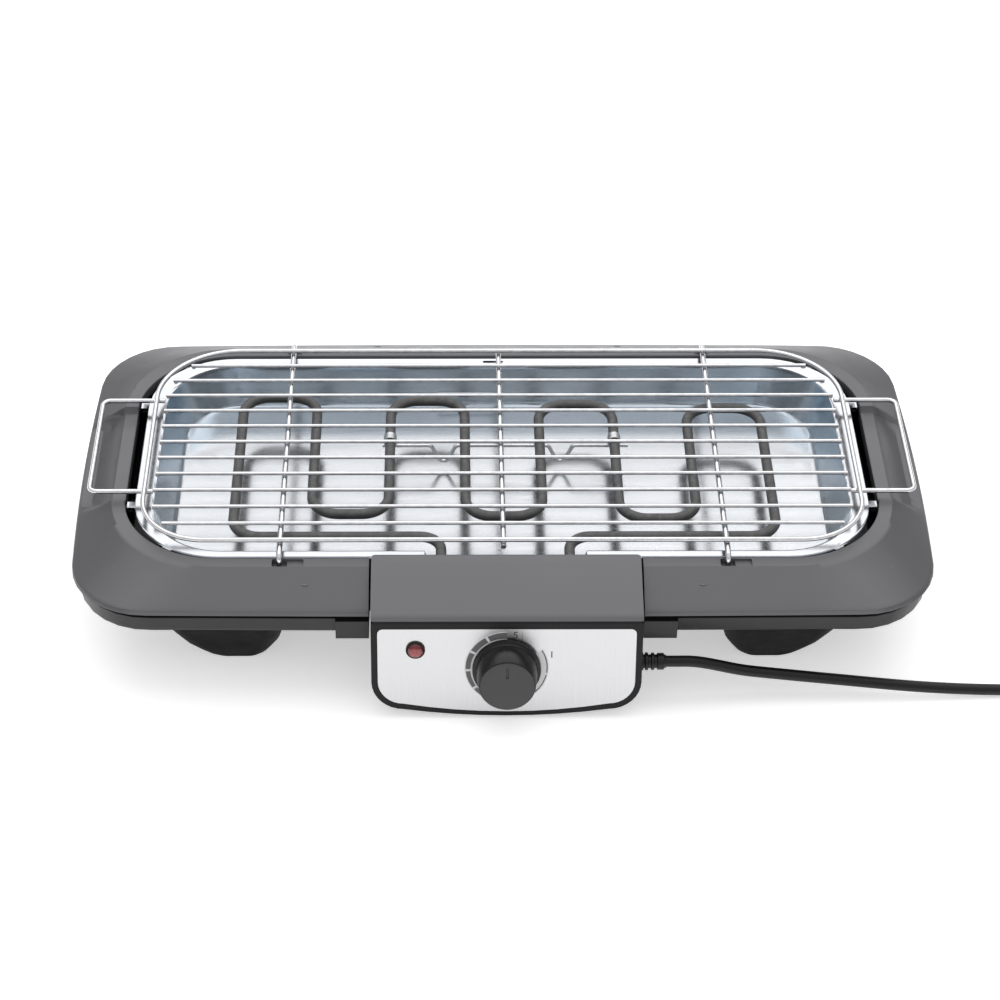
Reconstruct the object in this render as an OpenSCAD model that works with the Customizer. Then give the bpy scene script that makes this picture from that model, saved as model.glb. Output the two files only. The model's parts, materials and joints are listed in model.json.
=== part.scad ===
// Electric table-top barbecue: a rim and tub on four feet, a drip tray, a heating
// element with its control unit, and a lift-off wire grid. Millimetres, Z up.
// The origin lies on the table, under the middle of the whole barbecue.

/* [Opening and rim] */
// Width of the opening that takes the tray
opening_w = 465; // [420:1:500]
// Depth of the opening
opening_d = 211; // [196:1:240]
// Corner radius of the opening
opening_r = 60; // [48:1:66]
// Rim from the opening to its edge, at the left and right
border_side = 29.5; // [27:0.5:40]
// Rim from the opening to its edge, at the front and rear
border_front = 32.7; // [30:0.5:42]
// Corner radius of the rim's outer edge
rim_r = 48; // [36:1:60]
// How far the rim's long sides swell out in the middle
front_bow = 1.4; // [0:0.2:4]
// How far the rim's short sides swell out in the middle
side_bow = 2.3; // [0:0.1:4]
// Height of the rim's flat band above the table
rim_h = 79.5; // [70:0.5:95]
// Width of the flat band round the opening
band_w = 8.5; // [7:0.5:10]
// How far the rim slopes down from the band to its edge
rim_drop = 14.5; // [10:0.5:18]
// Wall thickness of the rim moulding
rim_wall = 2.2; // [1.6:0.1:2.6]
// Height of the rim's upright outer edge
lip_h = 3.2; // [2.4:0.1:4.5]
// Height of the rim's upright inner wall
inner_wall_h = 7; // [5:0.5:8]

/* [Hand recesses] */
// Length of each hand recess
recess_l = 97; // [80:1:104]
// Depth of the recess beside the opening
recess_depth = 3.5; // [2:0.5:5]
// Depth of the recess under the handle
valley_depth = 5.2; // [3:0.1:6]

/* [Base tub] */
// Gap between the rim's edge and the skirt behind it
skirt_inset = 3; // [2.6:0.2:6]
// Height of the skirt below the rim's edge
skirt_h = 16.2; // [12:0.5:22]
// Wall thickness of the tub
tub_wall = 2.5; // [1.8:0.1:3]
// Air gap under the drip tray
air_gap = 7.2; // [5:0.2:10]
// Width of the cheeks beside the control unit
cheek_w = 20; // [12:1:30]

/* [Feet] */
// Distance of each foot's outer side from the middle
foot_x = 205; // [190:1:210]
// Width of a foot where it meets the tub
foot_w = 77; // [66:1:84]
// Depth of a foot where it meets the tub
foot_d = 52; // [46:1:60]
// Thickness of the rubber under a foot that stands proud
pad_proud = 1; // [0.5:0.1:2]
// Diameter of a rubber pad
pad_d = 16; // [12:0.5:18]

/* [Drip tray] */
// Gap between the tray and the opening at the left and right
tray_gap_side = 6; // [4:0.5:9]
// Gap between the tray and the opening at the front and rear
tray_gap_front = 1.5; // [1:0.1:3]
// Depth of the tray's flange below the rim's band
tray_sink = 1.5; // [1:0.1:2.5]
// Depth of the tray
tray_depth = 29.5; // [24:0.5:30]
// Sheet thickness of the tray
tray_t = 0.8; // [0.6:0.1:1]
// Width of the tray's flange at the left and right
flange_side = 12; // [9:0.5:16]
// Width of the tray's flange at the front and rear
flange_front = 7.8; // [6:0.2:10]
// How far the tray's end walls lean in
tray_lean_side = 10.5; // [6:0.5:16]
// How far the tray's long walls lean in
tray_lean_front = 4.4; // [2:0.2:8]

/* [Heating element] */
// Diameter of the element's tube
tube_d = 6.5; // [5.5:0.1:7]
// Distance between neighbouring limbs
limb_pitch = 47.7; // [43:0.1:48.5]
// Bend radius of the tube at its middle
tube_bend = 17; // [12:0.5:20]
// Depth of the element's middle below the tray's flange
element_sink = 7; // [6:0.2:8]
// Where the rear turns lie, behind the opening's middle
rear_turn_y = 64; // [54:1:72]
// Where the front turns lie, before the opening's middle
front_turn_y = 55; // [40:1:56]
// Where the front runs lie, before the opening's middle
front_run_y = 75; // [74:0.5:78]
// How far each rear turn lies before the one on its left
rear_skew = 4; // [0:0.5:5]
// Distance of each leg from the control unit's middle
leg_x = 39; // [30:0.5:42]
// Diameter of the support wire
support_d = 2.5; // [2:0.1:3]

/* [Grid] */
// Gap between the ring and the opening at the left and right
ring_gap_side = 12.5; // [10:0.5:16]
// Gap between the ring and the opening at the front and rear
ring_gap_front = 6.5; // [5:0.5:9]
// Height of the ring's middle above the rim's band
ring_rise = 8.5; // [7.5:0.5:12]
// Diameter of the ring's wire
ring_d = 3; // [2.6:0.1:3.6]
// Corner radius of the ring at the front
ring_r_front = 40; // [34:1:48]
// Corner radius of the ring at the rear
ring_r_rear = 52; // [40:1:56]
// Number of bars across the ring
bar_count = 11; // [9:1:13]
// Diameter of a bar
bar_d = 2.4; // [2:0.1:3]
// Diameter of a cross wire
cross_d = 3.5; // [3:0.1:4]
// Distance of the outer cross wires from the middle
cross_x = 134.5; // [120:0.5:140]
// Diameter of a handle's wire
handle_d = 3; // [2.6:0.1:3.4]
// Length of a handle between its legs
handle_l = 95; // [80:1:97]
// How far a handle stands out beyond the ring
handle_reach = 34.5; // [28:0.5:36]

/* [Control unit] */
// How far the unit and the element sit to the right of the middle
unit_x = 1.5; // [0:0.5:3]
// Width of the unit
unit_w = 161.6; // [150:0.1:175]
// Height of the front bezel along its slope
bezel_h = 66; // [62:0.5:68]
// How far the front leans back, in degrees
panel_tilt = 9.6; // [6:0.2:12]
// How far the front's top edge stands before the rim
panel_reach = 10.4; // [8:0.2:14]
// Clearance of the unit above the table
unit_lift = 2; // [1:0.5:4]
// Wall thickness of the unit's mouldings
unit_wall = 2.4; // [2:0.1:3]
// How far the top cover stands above the rim's band
cover_rise = 3.5; // [2.5:0.1:5]
// Width of the steel plate on the front
plate_w = 154.2; // [140:0.1:155]
// Thickness of the steel plate
plate_t = 0.8; // [0.5:0.1:1]
// Height of the knob's middle on the front
knob_v = 33.7; // [30:0.1:36]
// Diameter of the lamp's ring
lamp_d = 11.5; // [9:0.5:13]
// Distance of the lamp to the left of the knob
lamp_u = 54.3; // [45:0.1:62]
// Height of the lamp on the front
lamp_v = 46.4; // [40:0.1:50]

/* [Knob] */
// Diameter of the knob's flange
knob_flange_d = 41; // [38:0.5:44]
// Diameter of the knob's grip at its front
knob_face_d = 33.5; // [30:0.5:35]
// Length of the knob
knob_l = 20; // [16:0.5:24]
// Diameter of the thermostat's shaft
shaft_d = 6; // [5:0.1:6.4]

/* [Cord] */
// Diameter of the cord
cord_d = 7; // [6:0.1:7]
// Gap between neighbouring turns of the coil
turn_gap = 0.6; // [0.5:0.1:1]
// Turns of the coil in both layers
coil_turns = 5.25; // [3.25:1:6.25]
// Outer radius of the coil at the tube's middle
coil_r = 48.5; // [46:0.5:52]
// Length of the strain relief outside the housing
relief_l = 15; // [12:0.5:24]

/* [Hidden] */
$fn = 48;

// Colours
dark_grey = [0.30, 0.30, 0.32];
near_black = [0.08, 0.08, 0.09];
bright_steel = [0.82, 0.84, 0.86];
wire_steel = [0.72, 0.72, 0.72];
element_grey = [0.25, 0.25, 0.26];
plate_steel = [0.85, 0.85, 0.85];
lens_red = [0.65, 0.08, 0.08];
brass_yellow = [0.78, 0.65, 0.30];
block_white = [0.88, 0.86, 0.80];
copper_brown = [0.50, 0.28, 0.16];

// Levels above the table
band_z = rim_h;
lip_z = band_z - rim_drop;
lip_bottom_z = lip_z - lip_h;
skirt_z = lip_bottom_z - skirt_h;
tray_z = band_z - tray_sink;
tray_floor_z = tray_z - tray_depth;
pan_z = tray_floor_z - tray_t - air_gap - tub_wall;
element_z = tray_z - element_sink;
ring_z = band_z + ring_rise;
cross_z = ring_z - ring_d / 2 - cross_d / 2;
handle_z = ring_z - ring_d / 2 - handle_d / 2;
bar_z = ring_z - ring_d / 2 + bar_d / 2;
support_z = element_z - tube_d / 2 - support_d / 2;
seat_gap = 0.3;

// Half sizes seen from above
open_x = opening_w / 2;
open_y = opening_d / 2;
lip_x = open_x + border_side;
lip_y = open_y + border_front;
ring_x = open_x - ring_gap_side;
ring_y = open_y - ring_gap_front;
tray_x = open_x - tray_gap_side;
tray_y = open_y - tray_gap_front;
basin_x = tray_x - flange_side;
basin_y = tray_y - flange_front;
tray_r = opening_r - tray_gap_side;
basin_r = tray_r - flange_side + 2;
unit_half = unit_w / 2;
notch_gap = 1.4;
notch_half = unit_half + notch_gap;
notch_y = open_y + tub_wall + 0.9;
unit_back_y = notch_y + 1;
plate_back_y = unit_back_y + 1.2;

// The front panel's foot, its knob and the place of the whole on the table
panel_top_y = lip_y + front_bow + panel_reach;
panel_foot_y = panel_top_y + bezel_h * sin(panel_tilt);
panel_z = unit_lift;
panel_top_z = panel_z + bezel_h * cos(panel_tilt);
knob_gap = 1;
knob_tip = knob_gap + knob_l;
knob_front_y = panel_foot_y - knob_v * sin(panel_tilt) + knob_tip * cos(panel_tilt)
    + knob_face_d / 2 * sin(panel_tilt);
grill_y = (knob_front_y - lip_y - front_bow) / 2;

// Grid slots and cross wires
slot_w = 7;
slot_l = 19;
slot_deep_l = 9;
slot_lead = 4.5;
slot_deep = 3.6;
slot_shallow = 1.6;
slot_y = open_y + band_w / 2 + 0.7;
cross_bend = 4;
cross_foot_z = band_z - slot_deep + seat_gap;

// Control unit's inside
inner_half = unit_half - unit_wall;
front_wall = 3;
bezel_r = 19;
bezel_bow = 4.6;
bezel_top_r = 3.5;
plate_top_gap = 5.4;
plate_side_gap = (unit_w - plate_w) / 2;
plate_play = 0.15;
bush_d = 9;
bush_play = 0.2;
shaft_play = 0.05;
boss_d = 7;
screw_d = 3;
head_d = 5.6;
head_h = 1.6;
cover_wall = 2.2;
cover_back_y = open_y + 0.5;
cover_top_z = band_z + cover_rise;
leg_end_y = unit_back_y + 11.2;
wires_y = leg_end_y + 7.5;
leg_hole_play = 0.3;
hook_x = 60;
hook_w = 20;
hook_h = 3;
notch_wall_z = element_z - tube_d / 2 - 1.75;
thermo_w = 36;
thermo_h = 26;
thermo_t = 15;
thermo_screw_pitch = 28;
term_x = 10;
term_v = knob_v - 0.2;
term_w = (wires_y - panel_foot_y + term_v * sin(panel_tilt)) / cos(panel_tilt);
term_z = panel_z + term_v * cos(panel_tilt) + term_w * sin(panel_tilt) + seat_gap;
lens_d = lamp_d - 2.2;
relief_r = 5.4;
relief_gap = 1.2;
relief_neck_d = 8.6;
flange_r = 5.2;
flange_t = 2;
cord_y = lip_y + front_bow + relief_gap + relief_r;
cord_z = 32.2;
block_w = 26;
block_h = 15;
block_x1 = inner_half - 14.4;
block_x0 = block_x1 - block_w;
block_z = cord_z - 7.8;
block_y0 = wires_y - 3.5;
block_y1 = cord_y + 4.2;
clamp_w = 6;
clamp_h = 7.5;
clamp_front = 4.4;
clamp_rear = 9;
clamp_sunk = 2;
clamp_x = block_x1 + 0.8;
boss_l = 10;
cover_boss_l = 7;
back_t = 2;
boss_low_z = 15;
boss_high_z = 54;
hook_screw_z = max(cover_top_z - 9, panel_top_z + 2.5);
cover_rear_z = cover_top_z - 7;

// Feet
pad_sunk = 1.5;
foot_screw_z = pan_z - 6;
foot_screw_l = 12;
rim_screw_l = 12;
foot_boss_h = 5;

// Tray details
tab_w = 6;
tab_gap = 1.5;
tab_y = 52;
rest_w = 12;
rest_h = 14;
rest_reach = 5.5;
rest_gap = 2.6;
tray_notch_half = leg_x + 8;
tray_notch_z = element_z - tube_d / 2 - 1.5;
vent_l = 13.5;
vent_w = 2.4;
vent_x = -3.4;
mark_l = 44;
mark_x = -18;
mark_h = 0.8;
mark_drop = 20;

// Support wire
support_y = 24;
dip_x = 37.5;
dip_half = 8;
dip_z = tray_floor_z + support_d / 2 + seat_gap;

// Steps along the outlines
recess_end = recess_l / 2;
side_end = 60;
side_steps = [0, 16, 30, recess_end - 9.5, recess_end - 5, recess_end - 2.5, recess_end,
    recess_end + 2.5, side_end];
corner_steps = 16;
coarse_side_steps = [0, 30, recess_end - 2.2, recess_end + 1.5, side_end];
coarse_corner_steps = 13;
tray_steps = 12;
foot_steps = 7;

relief_tip_x = unit_x + unit_half + relief_l;
cord_lane_y = grill_y - cord_y;
coil_x = 372;
coil_lane_y = cord_lane_y + 6;
coil_y = coil_lane_y + coil_r;
coil_pitch = cord_d + turn_gap;
coil_low = cord_d / 2;
tail_l = 42;
plug_l = 40;
plug_w = 37;
plug_h = 17;
plug_z = plug_h / 2;

// Route of the free cord, chosen by hand, from the strain relief to the coil:
// x, distance behind the relief's axis, and height
route_points = [
    [119, 0.5, 30.8], [127, 1.1, 28.4], [134.5, 1.7, 25.9], [142, 2.2, 23.6],
    [149.5, 2.6, 21.9], [157, 2.9, 20.6], [165, 3.1, 19.4], [172, 3.2, 18.4],
    [187, 3.2, 16.5], [208, 3.2, 13.9], [230, 3.3, 11], [250, 3.7, 8.4], [270, 4.4, 6.2],
    [290, 5.1, 4.6], [310, 5.6, 3.8], [330, 5.9, 3.5], [350, 6, 3.5]
];
cord_route = concat(
    [for (x = [0, cord_d, 2 * cord_d]) [relief_tip_x + x, cord_lane_y, cord_z]],
    [for (p = route_points) [p[0], cord_lane_y + p[1], p[2]]],
    [[coil_x - cord_d, coil_lane_y, cord_d / 2]]);

// Smooth step from 0 to 1
function smooth(t) = let (u = min(1, max(0, t))) u * u * (3 - 2 * u);
function unit_vector(v) = v / norm(v);

// Depth of the hand recess at a distance s from the opening, and at y along it
function recess_run(s) = lookup(s, [[0, 2.5], [11.5, 3], [17.5, 8], [23, 14]]);
function recess_at(s) = lookup(s, [
    [0, recess_depth], [11.5, recess_depth], [17.5, valley_depth],
    [23, valley_depth * 0.85], [border_side - 2.2, 0]]);
function recess(s, y) = abs(y) > recess_end ? 0
    : recess_at(s) * smooth((recess_end - abs(y)) / recess_run(s));

// Where a ray from the opening's corner centre meets the rim's outer edge
function lip_hit(a) = let (
        c = [open_x - opening_r, open_y - opening_r],
        k = [lip_x - rim_r, lip_y - rim_r],
        side_t = (lip_x - c[0]) / max(0.001, cos(a)),
        side_p = c + side_t * [cos(a), sin(a)],
        front_t = (lip_y - c[1]) / max(0.001, sin(a)),
        front_p = c + front_t * [cos(a), sin(a)],
        w = c - k,
        b = w[0] * cos(a) + w[1] * sin(a),
        q = w * w - rim_r * rim_r,
        arc_t = -b + sqrt(max(0, b * b - q))
    )
    side_p[1] <= k[1] ? side_p
    : front_p[0] <= k[0] ? front_p
    : c + arc_t * [cos(a), sin(a)];

// The swell of the rim's sides
function swell(p) = [
    p[0] + side_bow * max(0, 1 - pow(p[1] / (lip_y - rim_r), 2)),
    p[1] + front_bow * max(0, 1 - pow(p[0] / (lip_x - rim_r), 2))];

// One quarter of the columns, each with its point on the opening and on the rim's edge
function quarter(steps, corners) = let (
        c = [open_x - opening_r, open_y - opening_r],
        last = steps[len(steps) - 1],
        a0 = asin((last - c[1]) / opening_r)
    ) concat(
        [for (y = steps) [
            [y <= c[1] ? open_x : c[0] + sqrt(pow(opening_r, 2) - pow(y - c[1], 2)), y],
            swell([lip_x, y])]],
        [for (i = [1:corners]) let (a = a0 + (90 - a0) * i / corners) [
            c + opening_r * [cos(a), sin(a)], swell(lip_hit(a))]],
        [for (i = [1:3]) let (x = c[0] * (1 - i / 3)) [[x, open_y], swell([x, lip_y])]]
    );
function flip(q, sx, sy) = [for (p = q) [[p[0][0] * sx, p[0][1] * sy],
    [p[1][0] * sx, p[1][1] * sy]]];
function part_of(q, a, b) = [for (i = [a:(b > a ? 1 : -1):b]) q[i]];
function columns(steps, corners) = let (q = quarter(steps, corners), n = len(q)) concat(
    part_of(q, 0, n - 1),
    flip(part_of(q, n - 2, 0), -1, 1),
    flip(part_of(q, 1, n - 1), -1, -1),
    flip(part_of(q, n - 2, 1), 1, -1));

// A point at the distance s from the opening, on one column
function across(col, s, z) = let (d = unit_vector(col[1] - col[0]), p = col[0] + d * s)
    [p[0], p[1], z];
function reach(col) = norm(col[1] - col[0]);

// Faces of a loft whose rows are closed loops of n points
function loft_sides(rows, n, closed) = [for (r = [0:(closed ? rows - 1 : rows - 2)])
    for (i = [0:n - 1]) let (
        a = r * n + i, b = r * n + (i + 1) % n,
        c = ((r + 1) % rows) * n + (i + 1) % n, d = ((r + 1) % rows) * n + i)
    each [[a, c, b], [a, d, c]]];
function loft_caps(rows, n) = [
    [for (i = [0:n - 1]) i],
    [for (i = [n - 1:-1:0]) (rows - 1) * n + i]];
function flat_list(rows) = [for (r = rows) each r];

// A shell whose cross-section closes on itself, such as a ring
module ring_loft(rows) {
    polyhedron(points = flat_list(rows),
        faces = loft_sides(len(rows), len(rows[0]), true));
}

// A body between its first and last row, with flat ends
module capped_loft(rows) {
    polyhedron(points = flat_list(rows), faces = concat(
        loft_sides(len(rows), len(rows[0]), false), loft_caps(len(rows), len(rows[0]))));
}

// A tube swept along points, with the given number of sides
function direction(p, i) = unit_vector(p[min(i + 1, len(p) - 1)] - p[max(i - 1, 0)]);
function tube_ring(c, t, r, sides) = let (
        side = unit_vector(cross(t, [0, 0, 1])),
        up = cross(side, t)
    ) [for (k = [0:sides - 1]) let (a = 360 * (k + 0.5) / sides)
        c + r * cos(a) * side - r * sin(a) * up];
module tube(points, r, sides) {
    rows = [for (i = [0:len(points) - 1])
        tube_ring(points[i], direction(points, i), r, sides)];
    capped_loft(rows);
}

// Points of a rounded rectangle
function rounded(hx, hy, r, n) = let (q = min(r, hx, hy)) [for (k = [0:3], i = [0:n])
    let (
        cx = (k == 0 || k == 3 ? 1 : -1) * (hx - q),
        cy = (k < 2 ? 1 : -1) * (hy - q),
        a = 90 * k + 90 * i / n
    ) [cx + q * cos(a), cy + q * sin(a)]];
function at_height(pts, z) = [for (p = pts) [p[0], p[1], z]];

// Moves a piece from the opening's middle to its place on the table
module at_grill() { translate([0, grill_y, 0]) children(); }
module at_unit() { translate([unit_x, grill_y, 0]) children(); }

// Lays a piece on the front panel: x to the right, y up its slope, z outwards
module on_front() {
    translate([0, -panel_foot_y, panel_z]) rotate([90 - panel_tilt, 0, 0]) children();
}

// A rod bent in its plane along points, with a bend radius for each point
module bent_rod(pts, radii, d, closed = false) {
    n = len(pts);
    legs = closed ? n : n - 1;
    dirs = [for (i = [0:legs - 1]) unit_vector(pts[(i + 1) % n] - pts[i])];
    turns = [for (i = [0:n - 1]) (!closed && (i == 0 || i == n - 1)) ? 0
        : let (a = dirs[(i + n - 1) % n], b = dirs[i])
        atan2(a[0] * b[1] - a[1] * b[0], a[0] * b[0] + a[1] * b[1])];
    cut = [for (i = [0:n - 1]) radii[i] * tan(abs(turns[i]) / 2)];
    for (i = [0:legs - 1]) {
        from = pts[i] + dirs[i] * cut[i];
        to = pts[(i + 1) % n] - dirs[i] * cut[(i + 1) % n];
        run = norm(to - from);
        if (run > 0.01)
            translate([from[0], from[1], 0]) rotate([0, 90, atan2(dirs[i][1], dirs[i][0])])
                cylinder(d = d, h = run);
    }
    for (i = [0:n - 1]) if (abs(turns[i]) > 0.01) {
        a = dirs[(i + n - 1) % n];
        side = turns[i] > 0 ? 1 : -1;
        start = pts[i] - a * cut[i];
        normal = [-a[1], a[0]] * side;
        centre = start + normal * radii[i];
        a0 = atan2(-normal[1], -normal[0]);
        translate([centre[0], centre[1], 0])
            rotate([0, 0, side > 0 ? a0 : a0 + turns[i]])
            rotate_extrude(angle = abs(turns[i])) translate([radii[i], 0]) circle(d = d);
    }
}

// Rows of the rim moulding, from its inner wall back underneath, up its edge and over the top
function rim_z(col, s) = let (l = reach(col))
    band_z - rim_drop * max(0, s - band_w) / (l - band_w)
    - (abs(col[0][1]) <= side_end && abs(col[0][0]) > open_x - opening_r ? recess(s, col[0][1]) : 0);
function rim_top(cols, s, dz) = [for (c = cols) across(c, s, rim_z(c, s) + dz)];
function rim_edge(cols, t, dz) = [for (c = cols)
    let (s = reach(c) - t) across(c, s, rim_z(c, s) + dz)];
function rim_rows(cols) = [
    rim_top(cols, 0, -inner_wall_h),
    rim_top(cols, rim_wall, -inner_wall_h),
    rim_top(cols, rim_wall, -rim_wall),
    rim_top(cols, 11.5, -rim_wall),
    rim_top(cols, 23, -rim_wall),
    rim_edge(cols, rim_wall + 0.4, -rim_wall),
    rim_edge(cols, rim_wall, -lip_h),
    rim_edge(cols, 0, -lip_h),
    rim_edge(cols, 0, -1.4),
    rim_edge(cols, 0.6, -0.3),
    rim_edge(cols, 2.2, 0),
    rim_top(cols, 23, 0),
    rim_top(cols, 17.5, 0),
    rim_top(cols, 11.5, 0),
    rim_top(cols, band_w, 0),
    rim_top(cols, 1.2, 0),
    rim_top(cols, 0.4, -0.3),
    rim_top(cols, 0, -1.2)];

// One level of a grid slot, with rounded ends
module slot_level(x0, x1, depth) {
    r = 1.2;
    hull() for (x = [x0 + r, x1 - r], y = [-slot_w / 2 + r, slot_w / 2 - r])
        translate([x, y, band_z - depth]) cylinder(r = r, h = depth + 5, $fn = 20);
}

// A pocket under each slot, which the wire's foot stands in
module slot_cup(x0, x1) {
    r = 1;
    hull() for (x = [x0 + r, x1 - r], y = [-slot_w / 2 - 1 + r, slot_w / 2 + 1 - r])
        translate([x, y, band_z - slot_deep - 1.4]) cylinder(r = r, h = 3.2, $fn = 16);
}

// Height of the rim's surface at the distance s, where the rim is l wide
function surface_z(s, l) = band_z - rim_drop * (s - band_w) / (l - band_w);

// Screw posts between the rim and the tub: x, y and the height they reach into the rim
corner_c = [open_x - opening_r, open_y - opening_r];
post_corner_s = 24;
post_side_s = 16;
post_corner = corner_c + (opening_r + post_corner_s) * [cos(45), sin(45)];
post_corner_top = surface_z(post_corner_s, norm(lip_hit(45) - corner_c) - opening_r) - rim_wall / 2;
post_side_top = surface_z(post_side_s, border_front) - rim_wall / 2;
post_front_x = unit_half + 38;
post_rear_x = 80;
rim_posts = concat(
    [for (x = [-1, 1], y = [-1, 1]) [x * post_corner[0], y * post_corner[1], post_corner_top]],
    [for (x = [-1, 1]) [x * post_front_x, -open_y - post_side_s, post_side_top]],
    [for (x = [-1, 1]) [x * post_rear_x, open_y + post_side_s, post_side_top]]);
deck_top_z = skirt_z + tub_wall;

module rim_cover() {
    cols = columns(side_steps, corner_steps);
    color(dark_grey) at_grill() difference() {
        union() {
            ring_loft(rim_rows(cols));
            for (x = [-cross_x, cross_x], s = [-1, 1])
                translate([x - slot_lead, s * slot_y, 0]) slot_cup(-1.2, slot_l + 1.2);
            for (p = rim_posts) translate([p[0], p[1], deck_top_z + 0.1])
                cylinder(d = boss_d, h = p[2] - deck_top_z - 0.1, $fn = 20);
        }
        for (x = [-cross_x, cross_x], s = [-1, 1])
            translate([x - slot_lead, s * slot_y, 0]) {
                slot_level(0, slot_deep_l, slot_deep);
                slot_level(slot_deep_l - 3, slot_l, slot_shallow);
            }
        translate([unit_x - notch_half, -lip_y - 20, 0])
            cube([2 * notch_half, lip_y + 20 - open_y + 10, 200]);
        for (p = rim_posts) translate([p[0], p[1], deck_top_z - 1])
            cylinder(d = screw_d + 0.1, h = 12, $fn = 20);
    }
}

// One rest for a tray tab, standing on the pan's wall at the radius r
module tray_rest(r) {
    top = tray_z - tray_t - 0.2;
    low = band_z - inner_wall_h - seat_gap;
    root = low - recess_depth - top + rest_h;
    translate([r - 1, -rest_w / 2, top - rest_h]) cube([2, rest_w, root]);
    hull() {
        translate([r - 2, -rest_w / 2, top - rest_h]) cube([1.5, rest_w, 5]);
        translate([r - rest_reach, -rest_w / 2, low])
            cube([rest_reach - rest_gap, rest_w, top - low]);
    }
}

// Places children at the eight tray tabs, with the radius to the opening in $r
corner_tab_a = 58;
module at_tabs() {
    for (x = [0, 180], y = [-tab_y, tab_y]) {
        $r = open_x;
        translate([0, y, 0]) rotate([0, 0, x]) children();
    }
    for (x = [-1, 1], y = [-1, 1]) {
        $r = opening_r;
        a = atan2(y * sin(corner_tab_a), x * cos(corner_tab_a));
        translate([x * corner_c[0], y * corner_c[1], 0]) rotate([0, 0, a]) children();
    }
}

function tub_at(cols, s, z) = [for (c = cols) across(c, s, z)];
function tub_edge(cols, t, z) = [for (c = cols) across(c, reach(c) - skirt_inset - t, z)];
function tub_under_rim(cols, s) = [for (c = cols)
    across(c, s, rim_z(c, 0) - inner_wall_h - seat_gap)];
function tub_rows(cols) = let (
        top = lip_bottom_z + 0.8,
        s1 = 0.5 + tub_wall - 0.3
    ) [
    tub_at(cols, -8, pan_z),
    tub_at(cols, 0, pan_z + 0.2),
    tub_at(cols, s1 + 0.6, pan_z + 2.5),
    tub_at(cols, s1 + 1.2, skirt_z),
    tub_edge(cols, 4.5, skirt_z),
    tub_edge(cols, 2.4, skirt_z + 0.6),
    tub_edge(cols, 1.4, skirt_z + 2.9),
    tub_edge(cols, 0, top),
    tub_edge(cols, tub_wall, top),
    tub_edge(cols, tub_wall + 1.2, deck_top_z + 2),
    tub_edge(cols, tub_wall + 2.2, deck_top_z),
    tub_at(cols, s1 + 0.4, deck_top_z),
    tub_under_rim(cols, s1),
    tub_under_rim(cols, 0.5),
    tub_at(cols, 0.5, pan_z + tub_wall + 2.6),
    tub_at(cols, -1, pan_z + tub_wall + 0.4),
    tub_at(cols, -8, pan_z + tub_wall)];

module base_tub() {
    cols = columns(coarse_side_steps, coarse_corner_steps);
    color(near_black) at_grill() difference() {
        union() {
            difference() {
                capped_loft(tub_rows(cols));
                translate([unit_x - notch_half, -lip_y - 20, 0])
                    cube([2 * notch_half, lip_y + 20 - notch_y, 200]);
                translate([unit_x - notch_half, -lip_y - 20, notch_wall_z])
                    cube([2 * notch_half, 60, 200]);
            }
            at_tabs() tray_rest($r);
            for (p = foot_points) translate([p[0], p[1], pan_z + 1])
                cylinder(d = boss_d + 2, h = tub_wall - 1 + foot_boss_h, $fn = 20);
            for (s = [-1, 1]) translate([unit_x + s * (notch_half + cheek_w / 2), 0, 0])
                cheek();
        }
        for (p = rim_posts) translate([p[0], p[1], skirt_z - 3])
            cylinder(d = screw_d + 0.4, h = 8, $fn = 20);
        for (p = foot_points) translate([p[0], p[1], pan_z - 1])
            cylinder(d = screw_d + 0.1, h = 1 + tub_wall + foot_boss_h - 1.2, $fn = 20);
    }
}

// The upright block beside the control unit, standing a little proud of the skirt
cheek_proud = 2;
module cheek() {
    y0 = -lip_y - front_bow + skirt_inset - cheek_proud;
    top = lip_bottom_z - seat_gap;
    translate([-cheek_w / 2, y0, skirt_z - 1.6]) cube([cheek_w, 8, top - skirt_z + 1.6]);
    translate([-cheek_w / 2, y0, skirt_z + 0.4])
        cube([cheek_w, -notch_y - y0 + 1.5, tub_wall]);
}

// Outline of the rear right foot at each height: height, outer x, inner x, front y, rear y
foot_top_y = lip_y - skirt_inset - 2.6;
function foot_rows() = let (h = skirt_z - pad_proud, x0 = foot_x, x1 = foot_x - foot_w,
        y0 = foot_top_y, y1 = foot_top_y - foot_d) [
    [pad_proud, x0 - 25, x1 + 18.5, y0 - 27, y1 + 4],
    [pad_proud + 0.05 * h, x0 - 20, x1 + 15.5, y0 - 25.8, y1 + 3.5],
    [pad_proud + 0.16 * h, x0 - 15, x1 + 12.5, y0 - 22.8, y1 + 3],
    [pad_proud + 0.38 * h, x0 - 9, x1 + 8.5, y0 - 16.7, y1 + 2],
    [pad_proud + 0.70 * h, x0 - 3.7, x1 + 5.5, y0 - 8.2, y1 + 1],
    [pad_proud + 0.86 * h, x0 - 1.5, x1 + 3.4, y0 - 3.8, y1 + 0.5],
    [skirt_z, x0, x1, y0, y1]];
foot_hole_x = foot_x - 42;
foot_hole_y = foot_top_y - 38;
foot_seat_y = open_y + tub_wall + 2;
foot_points = [for (x = [-1, 1], y = [-1, 1]) [x * foot_hole_x, y * foot_hole_y]];

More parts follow.
